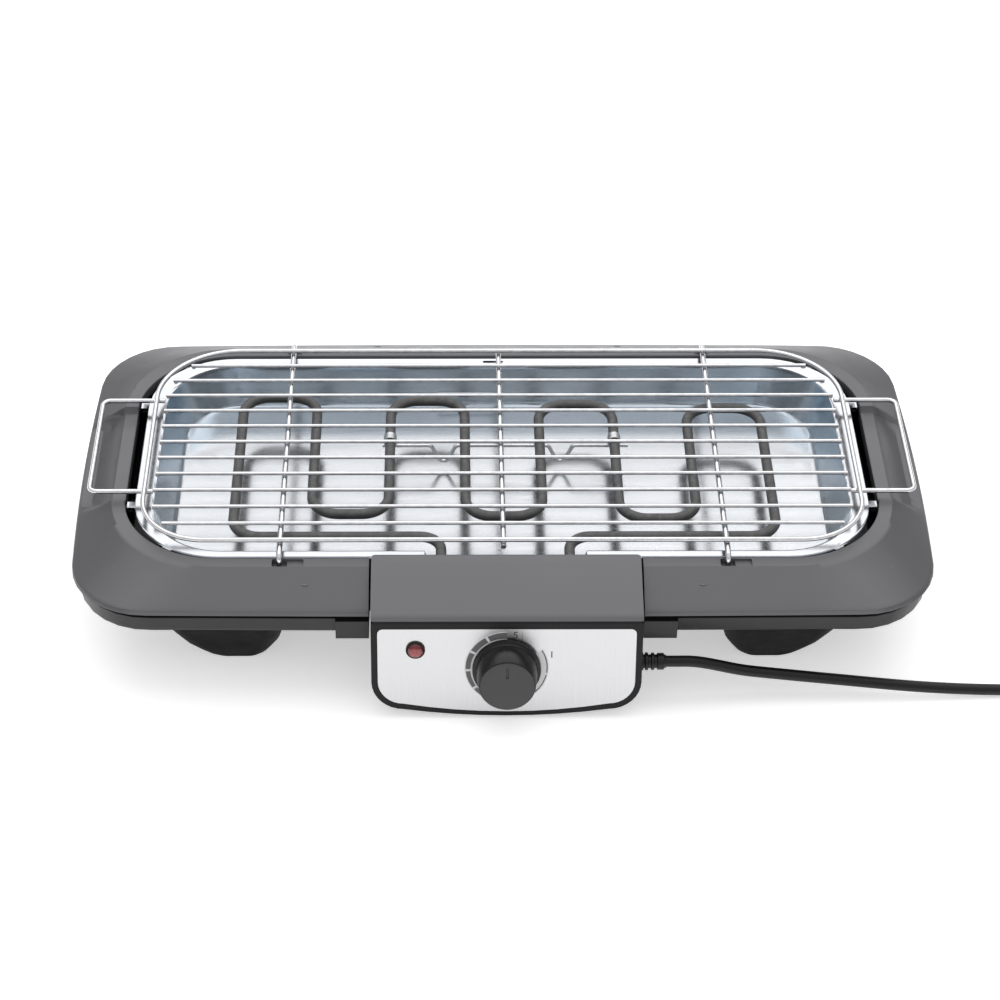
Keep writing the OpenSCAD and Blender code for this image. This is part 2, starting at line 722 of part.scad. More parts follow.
module foot_shape() {
    rows = [for (f = foot_rows()) let (hx = (f[1] - f[2]) / 2, hy = (f[3] - f[4]) / 2)
        [for (p = rounded(hx, hy, 13, foot_steps)) [p[0] + (f[1] + f[2]) / 2,
            p[1] + (f[3] + f[4]) / 2, f[0]]]];
    difference() {
        capped_loft(rows);
        translate([0, 0, pan_z - 0.1]) cube([400, foot_seat_y, 40]);
        translate([foot_hole_x, foot_hole_y, -1])
            cylinder(d = pad_d + 0.4, h = 1 + pad_proud + pad_sunk);
        translate([foot_hole_x, foot_hole_y, 0]) cylinder(d = head_d + 1.4, h = foot_screw_z);
        translate([foot_hole_x, foot_hole_y, 0]) cylinder(d = screw_d + 0.4, h = 60);
    }
}
module foot_front_left() {
    color(near_black) at_grill() mirror([1, 0, 0]) mirror([0, 1, 0]) foot_shape();
}
module foot_front_right() { color(near_black) at_grill() mirror([0, 1, 0]) foot_shape(); }
module foot_rear_left() { color(near_black) at_grill() mirror([1, 0, 0]) foot_shape(); }
module foot_rear_right() { color(near_black) at_grill() foot_shape(); }

module foot_pads() {
    color(near_black) at_grill() for (p = foot_points) translate([p[0], p[1], 0])
        cylinder(d = pad_d, h = pad_proud + pad_sunk);
}

// A pan-head screw standing upright, its head's underside at z = 0
module screw(l) {
    translate([0, 0, -head_h]) cylinder(d = head_d, h = head_h);
    cylinder(d = screw_d, h = l);
}
module foot_screws() {
    color(wire_steel) at_grill() for (p = foot_points)
        translate([p[0], p[1], foot_screw_z]) screw(foot_screw_l);
}
module rim_screws() {
    color(wire_steel) at_grill() for (p = rim_posts)
        translate([p[0], p[1], skirt_z]) screw(rim_screw_l);
}

// One row of the tray: sizes beyond the basin's edge, corner radius and height
function tray_row(dx, dy, r, z) = at_height(
    rounded(basin_x + dx, basin_y + dy, r, tray_steps), z);
function tray_skin(d) = let (t = tray_t * d, fx = -tray_lean_side, fy = -tray_lean_front) [
    tray_row(fx - 3, fy - 3.5, basin_r - 10, tray_floor_z - t),
    tray_row(fx - 0.2 + t, fy - 0.8 + t, basin_r - 8, tray_floor_z + 0.8 - t),
    tray_row(fx + 1.2 + t, fy + 0.8 + t, basin_r - 6, tray_floor_z + 3 - t),
    tray_row(-0.6 + t, -0.4 + t, basin_r, tray_z - 3 - t),
    tray_row(0.4 + t, 0.4 + t, basin_r + 1, tray_z - 0.5 - t),
    tray_row(1.6 + t, 1.6 + t, basin_r + 2, tray_z - t)];
function tray_rows() = let (
        under = tray_skin(1),
        over = tray_skin(0),
        ex = flange_side,
        ey = flange_front
    ) concat(under, [
        tray_row(ex - 1.7, ey - 1.7, tray_r - 1.7, tray_z - tray_t),
        tray_row(ex - 0.3, ey - 0.3, tray_r - 0.3, tray_z - tray_t - 0.1),
        tray_row(ex, ey, tray_r, tray_z - 0.4),
        tray_row(ex - 0.5, ey - 0.5, tray_r - 0.5, tray_z + 0.4),
        tray_row(ex - 1.7, ey - 1.7, tray_r - 1.7, tray_z)],
        part_of(over, len(over) - 1, 0));

module rounded_slot(x0, x1, w, h) {
    hull() for (x = [x0 + w / 2, x1 - w / 2]) translate([x, 0, 0])
        cylinder(d = w, h = h, $fn = 16);
}

module drip_tray() {
    color(bright_steel) at_grill() difference() {
        union() {
            capped_loft(tray_rows());
            at_tabs() translate([0, 0, tray_z - tray_t]) hull() {
                translate([$r - tray_gap_side - 1.5, -tab_w / 2, 0]) cube([1, tab_w, tray_t]);
                translate([$r - tab_gap - tab_w / 4, -tab_w / 2, 0])
                    cube([tab_w / 4, tab_w, tray_t]);
            }
            level_mark();
        }
        translate([vent_x, basin_y + flange_front / 2 + 0.5, tray_z - 5])
            rounded_slot(-vent_l / 2, vent_l / 2, vent_w, 20);
        translate([unit_x, -tray_y - 10, tray_notch_z]) rotate([-90, 0, 0])
            linear_extrude(height = 10 + tray_y - basin_y + 6) polygon([
                [-tray_notch_half - 4, -20], [-tray_notch_half, -3], [-tray_notch_half + 3, 0],
                [tray_notch_half - 3, 0], [tray_notch_half, -3], [tray_notch_half + 4, -20]]);
    }
}

// Raised level line on the tray's rear wall
module level_mark() {
    drop = mark_drop / tray_depth;
    y = basin_y - tray_lean_front * drop;
    translate([mark_x, y - 0.6, tray_z - mark_drop]) rotate([-90, 0, 0])
        rounded_slot(-mark_l / 2, mark_l / 2, mark_h, 1.2);
}

// The element's route, from its left leg round to its right leg
function limb_x(i) = (i - 3.5) * limb_pitch;
function rear_y(i) = rear_turn_y + rear_skew * (1.5 - i);
function front_y(i) = -front_turn_y - rear_skew * 0.6 * (i - 1);
element_route = concat(
    [[-leg_x, -leg_end_y], [-leg_x, -front_run_y], [limb_x(0), -front_run_y],
     [limb_x(0), rear_y(0)], [limb_x(1), rear_y(0)]],
    [for (i = [0:2]) each [[limb_x(2 * i + 1), front_y(i)], [limb_x(2 * i + 2), front_y(i)],
        [limb_x(2 * i + 2), rear_y(i + 1)], [limb_x(2 * i + 3), rear_y(i + 1)]]],
    [[limb_x(7), -front_run_y], [leg_x, -front_run_y], [leg_x, -leg_end_y]]);
leg_bend = 13;
element_bends = [for (i = [0:len(element_route) - 1])
    i == 1 || i == len(element_route) - 2 ? leg_bend : tube_bend];
module heating_element() {
    color(element_grey) at_unit() translate([0, 0, element_z])
        bent_rod(element_route, element_bends, tube_d);
}

// Points along a bent line, with n steps round each bend
function rounded_path(pts, r, n) = concat([pts[0]],
    [for (i = [1:len(pts) - 2]) let (
            a = unit_vector(pts[i] - pts[i - 1]),
            b = unit_vector(pts[i + 1] - pts[i]),
            turn = acos(a * b),
            m = unit_vector(b - a),
            centre = pts[i] + m * r / cos(turn / 2)
        ) for (k = [0:n]) let (w = turn * (k / n - 0.5))
            centre - m * r * cos(w) + unit_vector(a + b) * r * sin(w)],
    [pts[len(pts) - 1]]);

// The support wire lies under the limbs and dips to the tray's floor beside the middle
module element_support_wire() {
    x0 = limb_x(2) - 5;
    x1 = limb_x(5) + 9;
    bend = 3.2;
    route = concat([[x0, 0]],
        [for (s = [-1, 1]) each [[s * dip_x - dip_half, 0], [s * dip_x, dip_z - support_z],
            [s * dip_x + dip_half, 0]]],
        [[x1, 0]]);
    color(wire_steel) at_unit() translate([0, support_y, support_z])
        tube([for (p = rounded_path(route, bend, 5)) [p[0], 0, p[1]]], support_d / 2, 8);
}

// Two clips, each with a collar round a limb and a loop round the support wire
clip_t = 0.8;
clip_l = 6;
clip_play = 0.15;
module support_clips() {
    collar_r = tube_d / 2 + clip_play;
    loop_r = support_d / 2 + clip_play;
    drop = element_z - support_z;
    color(bright_steel) at_unit() for (i = [2, 5])
        translate([limb_x(i), support_y, element_z]) difference() {
            union() {
                rotate([90, 0, 0]) cylinder(r = collar_r + clip_t, h = clip_l, center = true);
                translate([0, 0, -drop]) rotate([0, 90, 0])
                    cylinder(r = loop_r + clip_t, h = clip_l, center = true);
            }
            rotate([90, 0, 0]) cylinder(r = collar_r, h = clip_l + 4, center = true);
            translate([0, 0, -drop]) rotate([0, 90, 0])
                cylinder(r = loop_r, h = clip_l + 6, center = true);
        }
}

// Outline of the front, t inside its edge: x across, y up its slope
function bezel_points(t) = let (
        hw = unit_half - t,
        r = bezel_r - t,
        rt = max(0.6, bezel_top_r - t),
        cx = unit_half - bezel_r
    ) concat(
        [for (i = [-4:4]) let (x = i / 4 * cx) [x, t + bezel_bow * pow(x / cx, 2)]],
        [for (i = [1:8]) let (a = -90 + 90 * i / 8) [cx + r * cos(a),
            bezel_bow + bezel_r + r * sin(a)]],
        [for (i = [0:4]) let (a = 90 * i / 4) [hw - rt + rt * cos(a),
            bezel_h - t - rt + rt * sin(a)]],
        [for (i = [0:4]) let (a = 90 + 90 * i / 4) [-hw + rt + rt * cos(a),
            bezel_h - t - rt + rt * sin(a)]],
        [for (i = [0:7]) let (a = 180 + 90 * i / 8) [-cx + r * cos(a),
            bezel_bow + bezel_r + r * sin(a)]]);

// The same outline seen level from the front: x across, y above the table
function level_points(t) = [for (p = bezel_points(t)) [p[0], panel_z + p[1] * cos(panel_tilt)]];

// Extrudes a level outline from y0 to y1, both before the opening's middle
module level_body(points, y0, y1) {
    translate([0, -y0, 0]) rotate([90, 0, 0]) linear_extrude(height = y1 - y0)
        polygon(points);
}

// Everything before the front's surface, sunk by the depth w
module before_panel(w) {
    on_front() translate([-150, -60, -w]) cube([300, 240, 120]);
}
module beside_shaft(d, w0, h) {
    on_front() translate([0, knob_v, w0]) cylinder(d = d, h = h);
}
module beside_lamp(d, w0, h) {
    on_front() translate([-lamp_u, lamp_v, w0]) cylinder(d = d, h = h);
}

// Screw bosses in the unit, x and height above the table, and the ribs that hold them
boss_x = unit_half - 12.8;
boss_points = [for (z = [boss_low_z, boss_high_z], s = [-1, 1]) [s * boss_x, z]];
function boss_rib(p) = p[1] == boss_low_z ? 8 : 11.4;
module control_body() {
    far = panel_foot_y + 20;
    color(near_black) at_unit() difference() {
        union() {
            difference() {
                level_body(level_points(0), unit_back_y, far);
                difference() {
                    level_body(level_points(unit_wall), unit_back_y - 1, far);
                    before_panel(front_wall + plate_t);
                }
                translate([-inner_half, -panel_top_y + 8, panel_top_z - 12])
                    cube([2 * inner_half, 100, 40]);
            }
            for (p = boss_points) translate([p[0], -plate_back_y - 2.2, p[1]]) {
                rotate([90, 0, 0]) cylinder(d = boss_d, h = boss_l);
                translate([p[0] > 0 ? 0 : -boss_rib(p), -boss_l, -1.2])
                    cube([boss_rib(p), boss_l, 2.4]);
            }
            intersection() {
                level_body(level_points(unit_wall / 2), unit_back_y, far);
                union() {
                    for (x = [block_x0 + 3, block_x1 - 5.4])
                        translate([x, -block_y1 - 3, 0])
                            cube([2.4, block_y1 - block_y0, block_z - 0.2]);
                    translate([clamp_x, -cord_y - clamp_front - 3, 0])
                        cube([clamp_w, clamp_front + 3 + clamp_rear, cord_z - clamp_sunk - 0.1]);
                }
            }
        }
        translate([clamp_x - 1, -cord_y, cord_z]) rotate([0, 90, 0])
            cylinder(d = cord_d + 0.1, h = clamp_w + 2);
        before_panel(0);
        on_front() translate([0, 0, -plate_t]) linear_extrude(height = 10)
            polygon(plate_points(0));
        for (p = boss_points) translate([p[0], -plate_back_y, p[1]])
            rotate([90, 0, 0]) cylinder(d = screw_d + 0.1, h = 16);
        beside_shaft(bush_d + 2 * bush_play, -20, 30);
        beside_lamp(lens_d - 1, -20, 30);
        for (s = [-1, 1]) on_front() translate([s * thermo_screw_pitch / 2, knob_v, -20]) {
            cylinder(d = screw_d + 0.4, h = 30);
            translate([0, 0, 20 - plate_t - head_h]) cylinder(d = head_d, h = 10);
        }
        translate([unit_half - 10, -cord_y, cord_z]) rotate([0, 90, 0])
            cylinder(d = relief_neck_d + 0.4, h = 20);
    }
}

// Outline of the steel plate, t inside its seat
function plate_points(t) = let (
        hw = plate_w / 2 - t,
        cx = unit_half - bezel_r,
        low = plate_side_gap * 0.75 + t,
        r = bezel_r - plate_side_gap - t,
        rt = 3.2,
        top = bezel_h - plate_top_gap - t,
        cy = bezel_bow + bezel_r
    ) concat(
        [for (i = [-4:4]) let (x = i / 4 * cx) [x, low + (cy - r - low) * pow(x / cx, 2)]],
        [for (i = [1:8]) let (a = -90 + 90 * i / 8) [hw - r + r * cos(a), cy + r * sin(a)]],
        [for (i = [0:4]) let (a = 90 * i / 4) [hw - rt + rt * cos(a), top - rt + rt * sin(a)]],
        [for (i = [0:4]) let (a = 90 + 90 * i / 4) [-hw + rt + rt * cos(a),
            top - rt + rt * sin(a)]],
        [for (i = [0:7]) let (a = 180 + 90 * i / 8) [-hw + r + r * cos(a), cy + r * sin(a)]]);

module panel_plate() {
    color(plate_steel) at_unit() difference() {
        on_front() translate([0, 0, -plate_t]) linear_extrude(height = plate_t)
            polygon(plate_points(plate_play));
        beside_shaft(bush_d + 2 * bush_play + 0.4, -5, 10);
        beside_lamp(lens_d - 0.6, -5, 10);
    }
}

// Side view of the top cover: y before the opening's middle, height above the table
function cover_profile(t) = let (
        y0 = cover_back_y + t,
        y1 = panel_top_y + 0.6 - t,
        z0 = cover_top_z - t,
        z1 = panel_top_z + 2.6 - t,
        low = panel_top_z + 0.3
    ) [
        [y0, cover_rear_z], [y0, z0 - 1.6], [y0 + 0.5, z0 - 0.5], [y0 + 1.8, z0],
        [y0 + 8, z0 - 0.9], [(y0 + y1) / 2, (z0 + z1) / 2 + 0.8],
        [y1 - 3.5, z1 + 1.0], [y1 - 1.4, z1], [y1 - 0.3, z1 - 1.1], [y1, low]];
module cover_slice(points, w) {
    translate([-w / 2, 0, 0]) rotate([90, 0, 90]) linear_extrude(height = w)
        polygon([for (p = points) [-p[0], p[1]]]);
}
module cover_boss(x) {
    translate([x, -plate_back_y - 2.3, hook_screw_z]) {
        rotate([90, 0, 0]) cylinder(d = boss_d, h = cover_boss_l);
        translate([-1, -cover_boss_l, 0]) cube([2, cover_boss_l, 12]);
    }
}
module control_cover() {
    rc = 4;
    inner = cover_profile(cover_wall);
    low = panel_top_z + 0.3;
    deep = panel_top_z - 30;
    outer = concat([[cover_back_y, cover_rear_z]], part_of(cover_profile(0), 1, 8),
        [[panel_top_y + 0.6, low], [unit_back_y, low], [unit_back_y, cover_rear_z]]);
    hollow = concat([[cover_back_y + cover_wall, deep]], part_of(inner, 1, 8),
        [[panel_top_y + 0.6 - cover_wall, deep]]);
    color(dark_grey) at_unit() difference() {
        intersection() {
            cover_slice(outer, unit_w);
            translate([0, 0, deep]) linear_extrude(height = 100) hull()
                for (s = [-1, 1]) {
                    translate([s * (unit_half - rc), -cover_back_y - rc]) circle(r = rc);
                    translate([s * (unit_half - 1), -panel_top_y + 0.4]) circle(r = 1);
                }
        }
        difference() {
            cover_slice(hollow, 2 * inner_half);
            for (s = [-1, 1]) cover_boss(s * hook_x);
        }
        for (s = [-1, 1]) translate([s * hook_x, -plate_back_y, hook_screw_z])
            rotate([90, 0, 0]) cylinder(d = screw_d + 0.1, h = 12);
    }
}

// The rear plate closes the body, lets the element's legs through and hooks on the tub
module control_back() {
    top = cover_top_z - cover_wall - 1.2;
    half = inner_half - 0.3;
    t = unit_wall + 0.3;
    color(near_black) at_unit() difference() {
        union() {
            level_body([for (p = level_points(t)) p[1] < panel_top_z - 12 ? p
                : [sign(p[0]) * half, top]], plate_back_y, plate_back_y + back_t);
            for (s = [-1, 1])
                translate([s * hook_x - hook_w / 2, -plate_back_y - 0.5, notch_wall_z + seat_gap])
                    cube([hook_w, plate_back_y - open_y - 0.5 + 0.5, hook_h]);
        }
        for (s = [-1, 1]) translate([s * leg_x, -plate_back_y + 5, element_z])
            rotate([90, 0, 0]) cylinder(d = tube_d + 2 * leg_hole_play, h = 20);
        for (p = boss_points) translate([p[0], -plate_back_y + 5, p[1]])
            rotate([90, 0, 0]) cylinder(d = screw_d + 0.3, h = 20);
        for (s = [-1, 1]) translate([s * hook_x, -plate_back_y + 5, hook_screw_z])
            rotate([90, 0, 0]) cylinder(d = screw_d + 0.3, h = 20);
    }
}

module housing_screws() {
    points = concat(boss_points, [for (s = [-1, 1]) [s * hook_x, hook_screw_z]]);
    color(wire_steel) at_unit() for (p = points)
        translate([p[0], -plate_back_y, p[1]]) rotate([90, 0, 0]) screw(boss_l);
}

// Steel bracket that clamps both legs behind the rear plate
bracket_side = 9;
bracket_h = 12;
bracket_t = 1.2;
module element_bracket() {
    y0 = plate_back_y + back_t + 0.2;
    half = leg_x + bracket_side;
    color(bright_steel) at_unit() difference() {
        translate([-half, -y0 - bracket_t, element_z - bracket_h / 2])
            cube([2 * half, bracket_t, bracket_h]);
        for (s = [-1, 1]) translate([s * leg_x, -y0 + 5, element_z]) rotate([90, 0, 0])
            cylinder(d = tube_d + 0.1, h = 20);
    }
}

// A threaded pin with a flat tab on each cold end of the element
pin_d = 2.5;
pin_l = 3.5;
pin_tab_w = 6.2;
pin_tab_l = 6.5;
pin_tab_t = 0.8;
module element_pins() {
    color(wire_steel) at_unit() for (s = [-1, 1])
        translate([s * leg_x, -leg_end_y, element_z]) {
            rotate([90, 0, 0]) cylinder(d = pin_d, h = pin_l);
            translate([-pin_tab_w / 2, 0.5 - pin_l - pin_tab_l, -pin_tab_t / 2])
                cube([pin_tab_w, pin_tab_l, pin_tab_t]);
        }
}

// Dark ring and red lens of the lamp, and the neon tube behind them
module lamp_ring() {
    color(near_black) at_unit() on_front() translate([-lamp_u, lamp_v, 0]) difference() {
        union() {
            translate([0, 0, 0.05]) cylinder(d = lamp_d, h = 1);
            translate([0, 0, -front_wall - 4]) cylinder(d = lens_d - 1.4, h = front_wall + 4.2);
        }
        translate([0, 0, -front_wall - 5]) cylinder(d = lens_d - 3, h = front_wall + 10);
        translate([0, 0, 0.4]) cylinder(d = lens_d + 0.1, h = 2);
    }
}
module lamp_lens() {
    h = 1.9;
    r = lens_d / 2;
    color(lens_red) at_unit() on_front() translate([-lamp_u, lamp_v, 0.42])
        rotate_extrude() polygon(concat([[0, 0], [r, 0], [r, 0.7]],
            [for (i = [1:5]) [r * cos(90 * i / 5), 0.7 + h * sin(90 * i / 5)]]));
}
module neon_lamp() {
    color("orange") at_unit() on_front() translate([-lamp_u, lamp_v, -11]) {
        cylinder(d = 4.6, h = 9);
        translate([0, 0, 9]) sphere(d = 4.6);
        for (x = [-1, 1]) translate([x, 0, -9]) cylinder(d = 0.8, h = 9.5);
    }
}

// Thermostat: a block with a threaded bush for its shaft and two terminals
module thermostat() {
    back = -front_wall - plate_t - 0.1;
    color(block_white) at_unit() on_front() translate([0, knob_v, 0]) difference() {
        union() {
            translate([-thermo_w / 2, -thermo_h / 2, back - thermo_t])
                cube([thermo_w, thermo_h, thermo_t]);
            translate([0, 0, back - 1]) cylinder(d = bush_d, h = 1 - back - 0.2);
            for (s = [-1, 1]) translate([s * term_x - 3, -1, term_w - 1.6])
                cube([6, 0.8, back - thermo_t + 1 - term_w + 1.6]);
        }
        translate([0, 0, back - 10]) cylinder(d = shaft_d + 2 * shaft_play, h = 30);
        for (s = [-1, 1]) translate([s * thermo_screw_pitch / 2, 0, back - 8])
            cylinder(d = screw_d + 0.1, h = 20);
    }
}
module thermostat_screws() {
    color(wire_steel) at_unit() on_front() for (s = [-1, 1])
        translate([s * thermo_screw_pitch / 2, knob_v, 0]) {
            translate([0, 0, -plate_t - head_h + 0.05]) cylinder(d = head_d - 0.4, h = head_h - 0.15);
            translate([0, 0, -plate_t - head_h - 8]) cylinder(d = screw_d, h = 8.1);
        }
}
shaft_in = 8;
shaft_out = 14;
module thermostat_shaft() {
    back = -front_wall - plate_t - 0.1;
    color(wire_steel) at_unit() on_front() translate([0, knob_v, back - shaft_in])
        cylinder(d = shaft_d, h = shaft_in - back + shaft_out);
}

// Knob: a flange, a tapered grip and a pointer groove, bored for the shaft
module knob() {
    rf = knob_flange_d / 2;
    rg = knob_face_d / 2;
    l = knob_l;
    color(near_black) at_unit() on_front() translate([0, knob_v, knob_gap]) difference() {
        rotate_extrude($fn = 96) polygon([
            [0, 0], [rf - 0.5, 0], [rf, 0.5], [rf, 2.2], [rf - 0.9, 3], [rg + 2, 3.6],
            [rg + 1.5, 5], [rg + 0.2, l - 1.6], [rg - 0.3, l - 0.6], [rg - 1.4, l], [0, l]]);
        translate([0, 0, -1]) cylinder(d = shaft_d + 0.04, h = shaft_out + 0.4);
        translate([-0.6, rg * 0.3, l - 0.9]) cube([1.2, rg * 0.52, 2]);
    }
}

// Ceramic terminal block with its bores from above
wire_d = 2.4;
function block_bore_x(i) = block_x0 + block_w * (i + 0.5) / 3;
module terminal_block() {
    color(block_white) at_unit() difference() {
        translate([block_x0, -block_y1, block_z]) cube([block_w, block_y1 - block_y0, block_h]);
        for (i = [0:2]) translate([block_bore_x(i), -wires_y, block_z + 4])
            cylinder(d = wire_d + 1, h = block_h);
    }
}

// Inner wires: left pin to thermostat, thermostat to block, and right pin to block
wire_end = 8;
wire_bend = 4;
module inner_wires() {
    low = block_z + block_h - wire_end;
    high = element_z - 0.5;
    left_z = term_z + 18;
    over_z = block_z + block_h + 6;
    right_z = element_z - 13;
    bends = [for (i = [0:3]) wire_bend];
    color(copper_brown) at_unit() translate([0, -wires_y, 0]) rotate([90, 0, 0]) {
        bent_rod([[-leg_x, high], [-leg_x, left_z], [-term_x, left_z], [-term_x, term_z]],
            bends, wire_d);
        bent_rod([[block_bore_x(0), low], [block_bore_x(0), over_z], [term_x, over_z],
            [term_x, term_z]], bends, wire_d);
        bent_rod([[leg_x, high], [leg_x, right_z], [block_bore_x(2), right_z],
            [block_bore_x(2), low]], bends, wire_d);
    }
}

// Clamp bridge over the sheath
module cord_clamp() {
    color(near_black) at_unit() translate([clamp_x, -cord_y, cord_z]) difference() {
        translate([0, -clamp_front, -clamp_sunk])
            cube([clamp_w, clamp_front + clamp_rear, clamp_h]);
        rotate([0, 90, 0]) translate([0, 0, -1]) cylinder(d = cord_d + 0.1, h = clamp_w + 2);
    }
}

// The cord's sheath inside the housing
relief_in_x = inner_half - flange_t - 0.2;
module sheath_end() {
    color(near_black) at_unit() translate([block_x1 + 0.5, -cord_y, cord_z])
        rotate([0, 90, 0]) cylinder(d = cord_d, h = relief_in_x - block_x1 - 0.5);
}

// Ribbed, tapering strain relief with a retaining flange inside the wall
rib_count = 3;
rib_w = 2.2;
module strain_relief() {
    neck = unit_half + 0.2;
    step = (relief_l - 4) / rib_count;
    groove_r = relief_neck_d / 2 - 0.1;
    tip = unit_half + relief_l;
    ribs = [for (i = [0:rib_count - 1]) let (
            x = neck + 1.9 + i * step,
            w = i == rib_count - 1 ? tip - 1.2 - x : rib_w,
            r = relief_r - i * 0.15
        ) each [[x, groove_r], [x + 0.3, r], [x + w - 0.3, r], [x + w, groove_r]]];
    color(near_black) at_unit() translate([0, -cord_y, cord_z]) rotate([0, 90, 0])
        rotate_extrude() polygon([for (p = concat(
            [[relief_in_x, 0], [relief_in_x, flange_r], [relief_in_x + flange_t, flange_r],
             [relief_in_x + flange_t, relief_neck_d / 2], [neck, relief_neck_d / 2],
             [neck, relief_r], [neck + 1.1, relief_r], [neck + 1.2, groove_r]],
            ribs,
            [[tip, cord_d / 2 + 0.4], [tip, 0]]))
            [p[1], p[0]]]);
}

// The grid: an endless ring, bars, cross wires with feet, and two handles
ring_points = [[ring_x, -ring_y], [ring_x, ring_y], [-ring_x, ring_y], [-ring_x, -ring_y]];
module grid_ring() {
    color(wire_steel) at_grill() translate([0, 0, ring_z]) bent_rod(ring_points,
        [ring_r_front, ring_r_rear, ring_r_rear, ring_r_front], ring_d, true);
}

// Half the ring's inner width at y
function ring_reach(y) = let (
        r = y < 0 ? ring_r_front : ring_r_rear,
        k = ring_y - r,
        d = max(0, abs(y) - k)
    ) ring_x - r + sqrt(max(0, r * r - d * d)) - ring_d / 2;
bar_end_gap = 4;
module grid_bars() {
    pitch = 2 * ring_y / (bar_count + 1);
    color(wire_steel) at_grill() for (i = [1:bar_count]) {
        y = -ring_y + i * pitch;
        half = ring_reach(y) - bar_end_gap;
        translate([-half, y, bar_z]) rotate([0, 90, 0]) cylinder(d = bar_d, h = 2 * half);
    }
}

module cross_wires() {
    foot_y = slot_y;
    foot = [foot_y, cross_foot_z];
    color(wire_steel) at_grill() {
        for (x = [-cross_x, cross_x]) translate([x, 0, 0]) rotate([90, 0, 90])
            bent_rod([[-foot[0], foot[1]], [-foot[0], cross_z], [foot[0], cross_z], foot],
                [1, cross_bend, cross_bend, 1], cross_d);
        translate([0, -ring_y - 3, cross_z]) rotate([-90, 0, 0])
            cylinder(d = cross_d, h = 2 * ring_y + 6);
    }
}

// A handle lies under the ring, its legs ending just inside it
module handle() {
    x0 = ring_x - 5;
    x1 = ring_x + handle_reach;
    y = handle_l / 2;
    color(wire_steel) at_grill() translate([0, 0, handle_z])
        bent_rod([[x0, -y], [x1, -y], [x1, y], [x0, y]], [1, 5, 5, 1], handle_d);
}
module handle_left() { mirror([1, 0, 0]) handle(); }
module handle_right() { handle(); }

module power_cord() { color(near_black) tube(cord_route, cord_d / 2, 10); }

// The coil spirals in along its low layer, climbs in half a turn, and spirals out again
half_angle = coil_turns * 180;
function coil_radius(a) = coil_r - coil_pitch * (a < half_angle ? a : 2 * half_angle - a) / 360;
function coil_height(a) = coil_low + coil_pitch * smooth((a - half_angle + 90) / 180);
function coil_point(a) = [coil_x + coil_radius(a) * cos(a - 90),
    coil_y + coil_radius(a) * sin(a - 90), coil_height(a)];
coil_step = 15;
coil_main = [for (a = [coil_step / 3:coil_step:2 * half_angle - coil_step / 3]) coil_point(a)];
coil_start = [coil_x - cord_d, coil_lane_y, coil_low];
coil_end = [coil_x + coil_r, coil_y, coil_low + coil_pitch];
coil_path = concat([coil_start, [coil_x, coil_lane_y, coil_low]], coil_main,
    [coil_end, coil_end + [0, cord_d, 0]]);
module cord_coil() { color(near_black) tube(coil_path, cord_d / 2, 6); }

// Least distance between turns, less the tube's diameter
function path_length(p) = norm_sum([for (i = [1:len(p) - 1]) norm(p[i] - p[i - 1])], 0);
function norm_sum(v, i) = i >= len(v) ? 0 : v[i] + norm_sum(v, i + 1);
far_enough = 8;
least_gap = min([for (i = [0:len(coil_path) - 1]) for (k = [i + far_enough:1:len(coil_path) - 1])
    norm(coil_path[i] - coil_path[k])]) - cord_d;
echo(str("Least gap between the coil's turns: ", least_gap, " mm"));
echo(str("Length of the cord: ", path_length(cord_route) + path_length(coil_path) + tail_l, " mm"));

// The short stretch from the coil to the plug
tail_path = [
    coil_end + [0, cord_d, 0], coil_end + [0, 2 * cord_d, 0], coil_end + [0, 22, -0.7],
    coil_end + [0, 29, -1.9], [coil_end[0], coil_end[1] + tail_l - cord_d, plug_z],
    [coil_end[0], coil_end[1] + tail_l, plug_z]];
module cord_tail() { color(near_black) tube(tail_path, cord_d / 2, 10); }

// Flat plug body with a neck, and its three round pins
plug_neck = 12;
plug_y = coil_end[1] + tail_l;
module plug_body() {
    color(near_black) translate([coil_end[0], plug_y, plug_z]) rotate([-90, 0, 0]) union() {
        translate([0, 0, 0.02]) cylinder(d1 = cord_d + 2, d2 = plug_h - 3, h = plug_neck);
        translate([0, 0, plug_neck]) linear_extrude(height = plug_l - plug_neck) hull()
            for (s = [-1, 1]) translate([s * (plug_w - plug_h) / 2, 0]) circle(d = plug_h);
    }
}
pin_len = 19;
module plug_pins() {
    color(brass_yellow) translate([coil_end[0], plug_y + plug_l, plug_z]) rotate([-90, 0, 0])
        for (p = [[-9.5, 0], [0, -3], [9.5, 0]]) translate([p[0], p[1], 0.02]) {
            cylinder(d = 4, h = pin_len - 1);
            translate([0, 0, pin_len - 1]) cylinder(d1 = 4, d2 = 2.8, h = 1);
        }
}

rim_cover();
base_tub();
foot_front_left();
foot_front_right();
foot_rear_left();
foot_rear_right();
foot_pads();
foot_screws();
rim_screws();
drip_tray();
heating_element();
element_support_wire();
support_clips();
element_bracket();
element_pins();
control_cover();
control_body();
control_back();
housing_screws();
panel_plate();
lamp_ring();
lamp_lens();
neon_lamp();
thermostat();
thermostat_screws();
thermostat_shaft();
knob();
terminal_block();
inner_wires();
cord_clamp();
sheath_end();
strain_relief();
grid_ring();
grid_bars();
cross_wires();
handle_left();
handle_right();
power_cord();
cord_coil();
cord_tail();
plug_body();
plug_pins();
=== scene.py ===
import json
import math

import bmesh
import bpy
from mathutils import Matrix, Vector


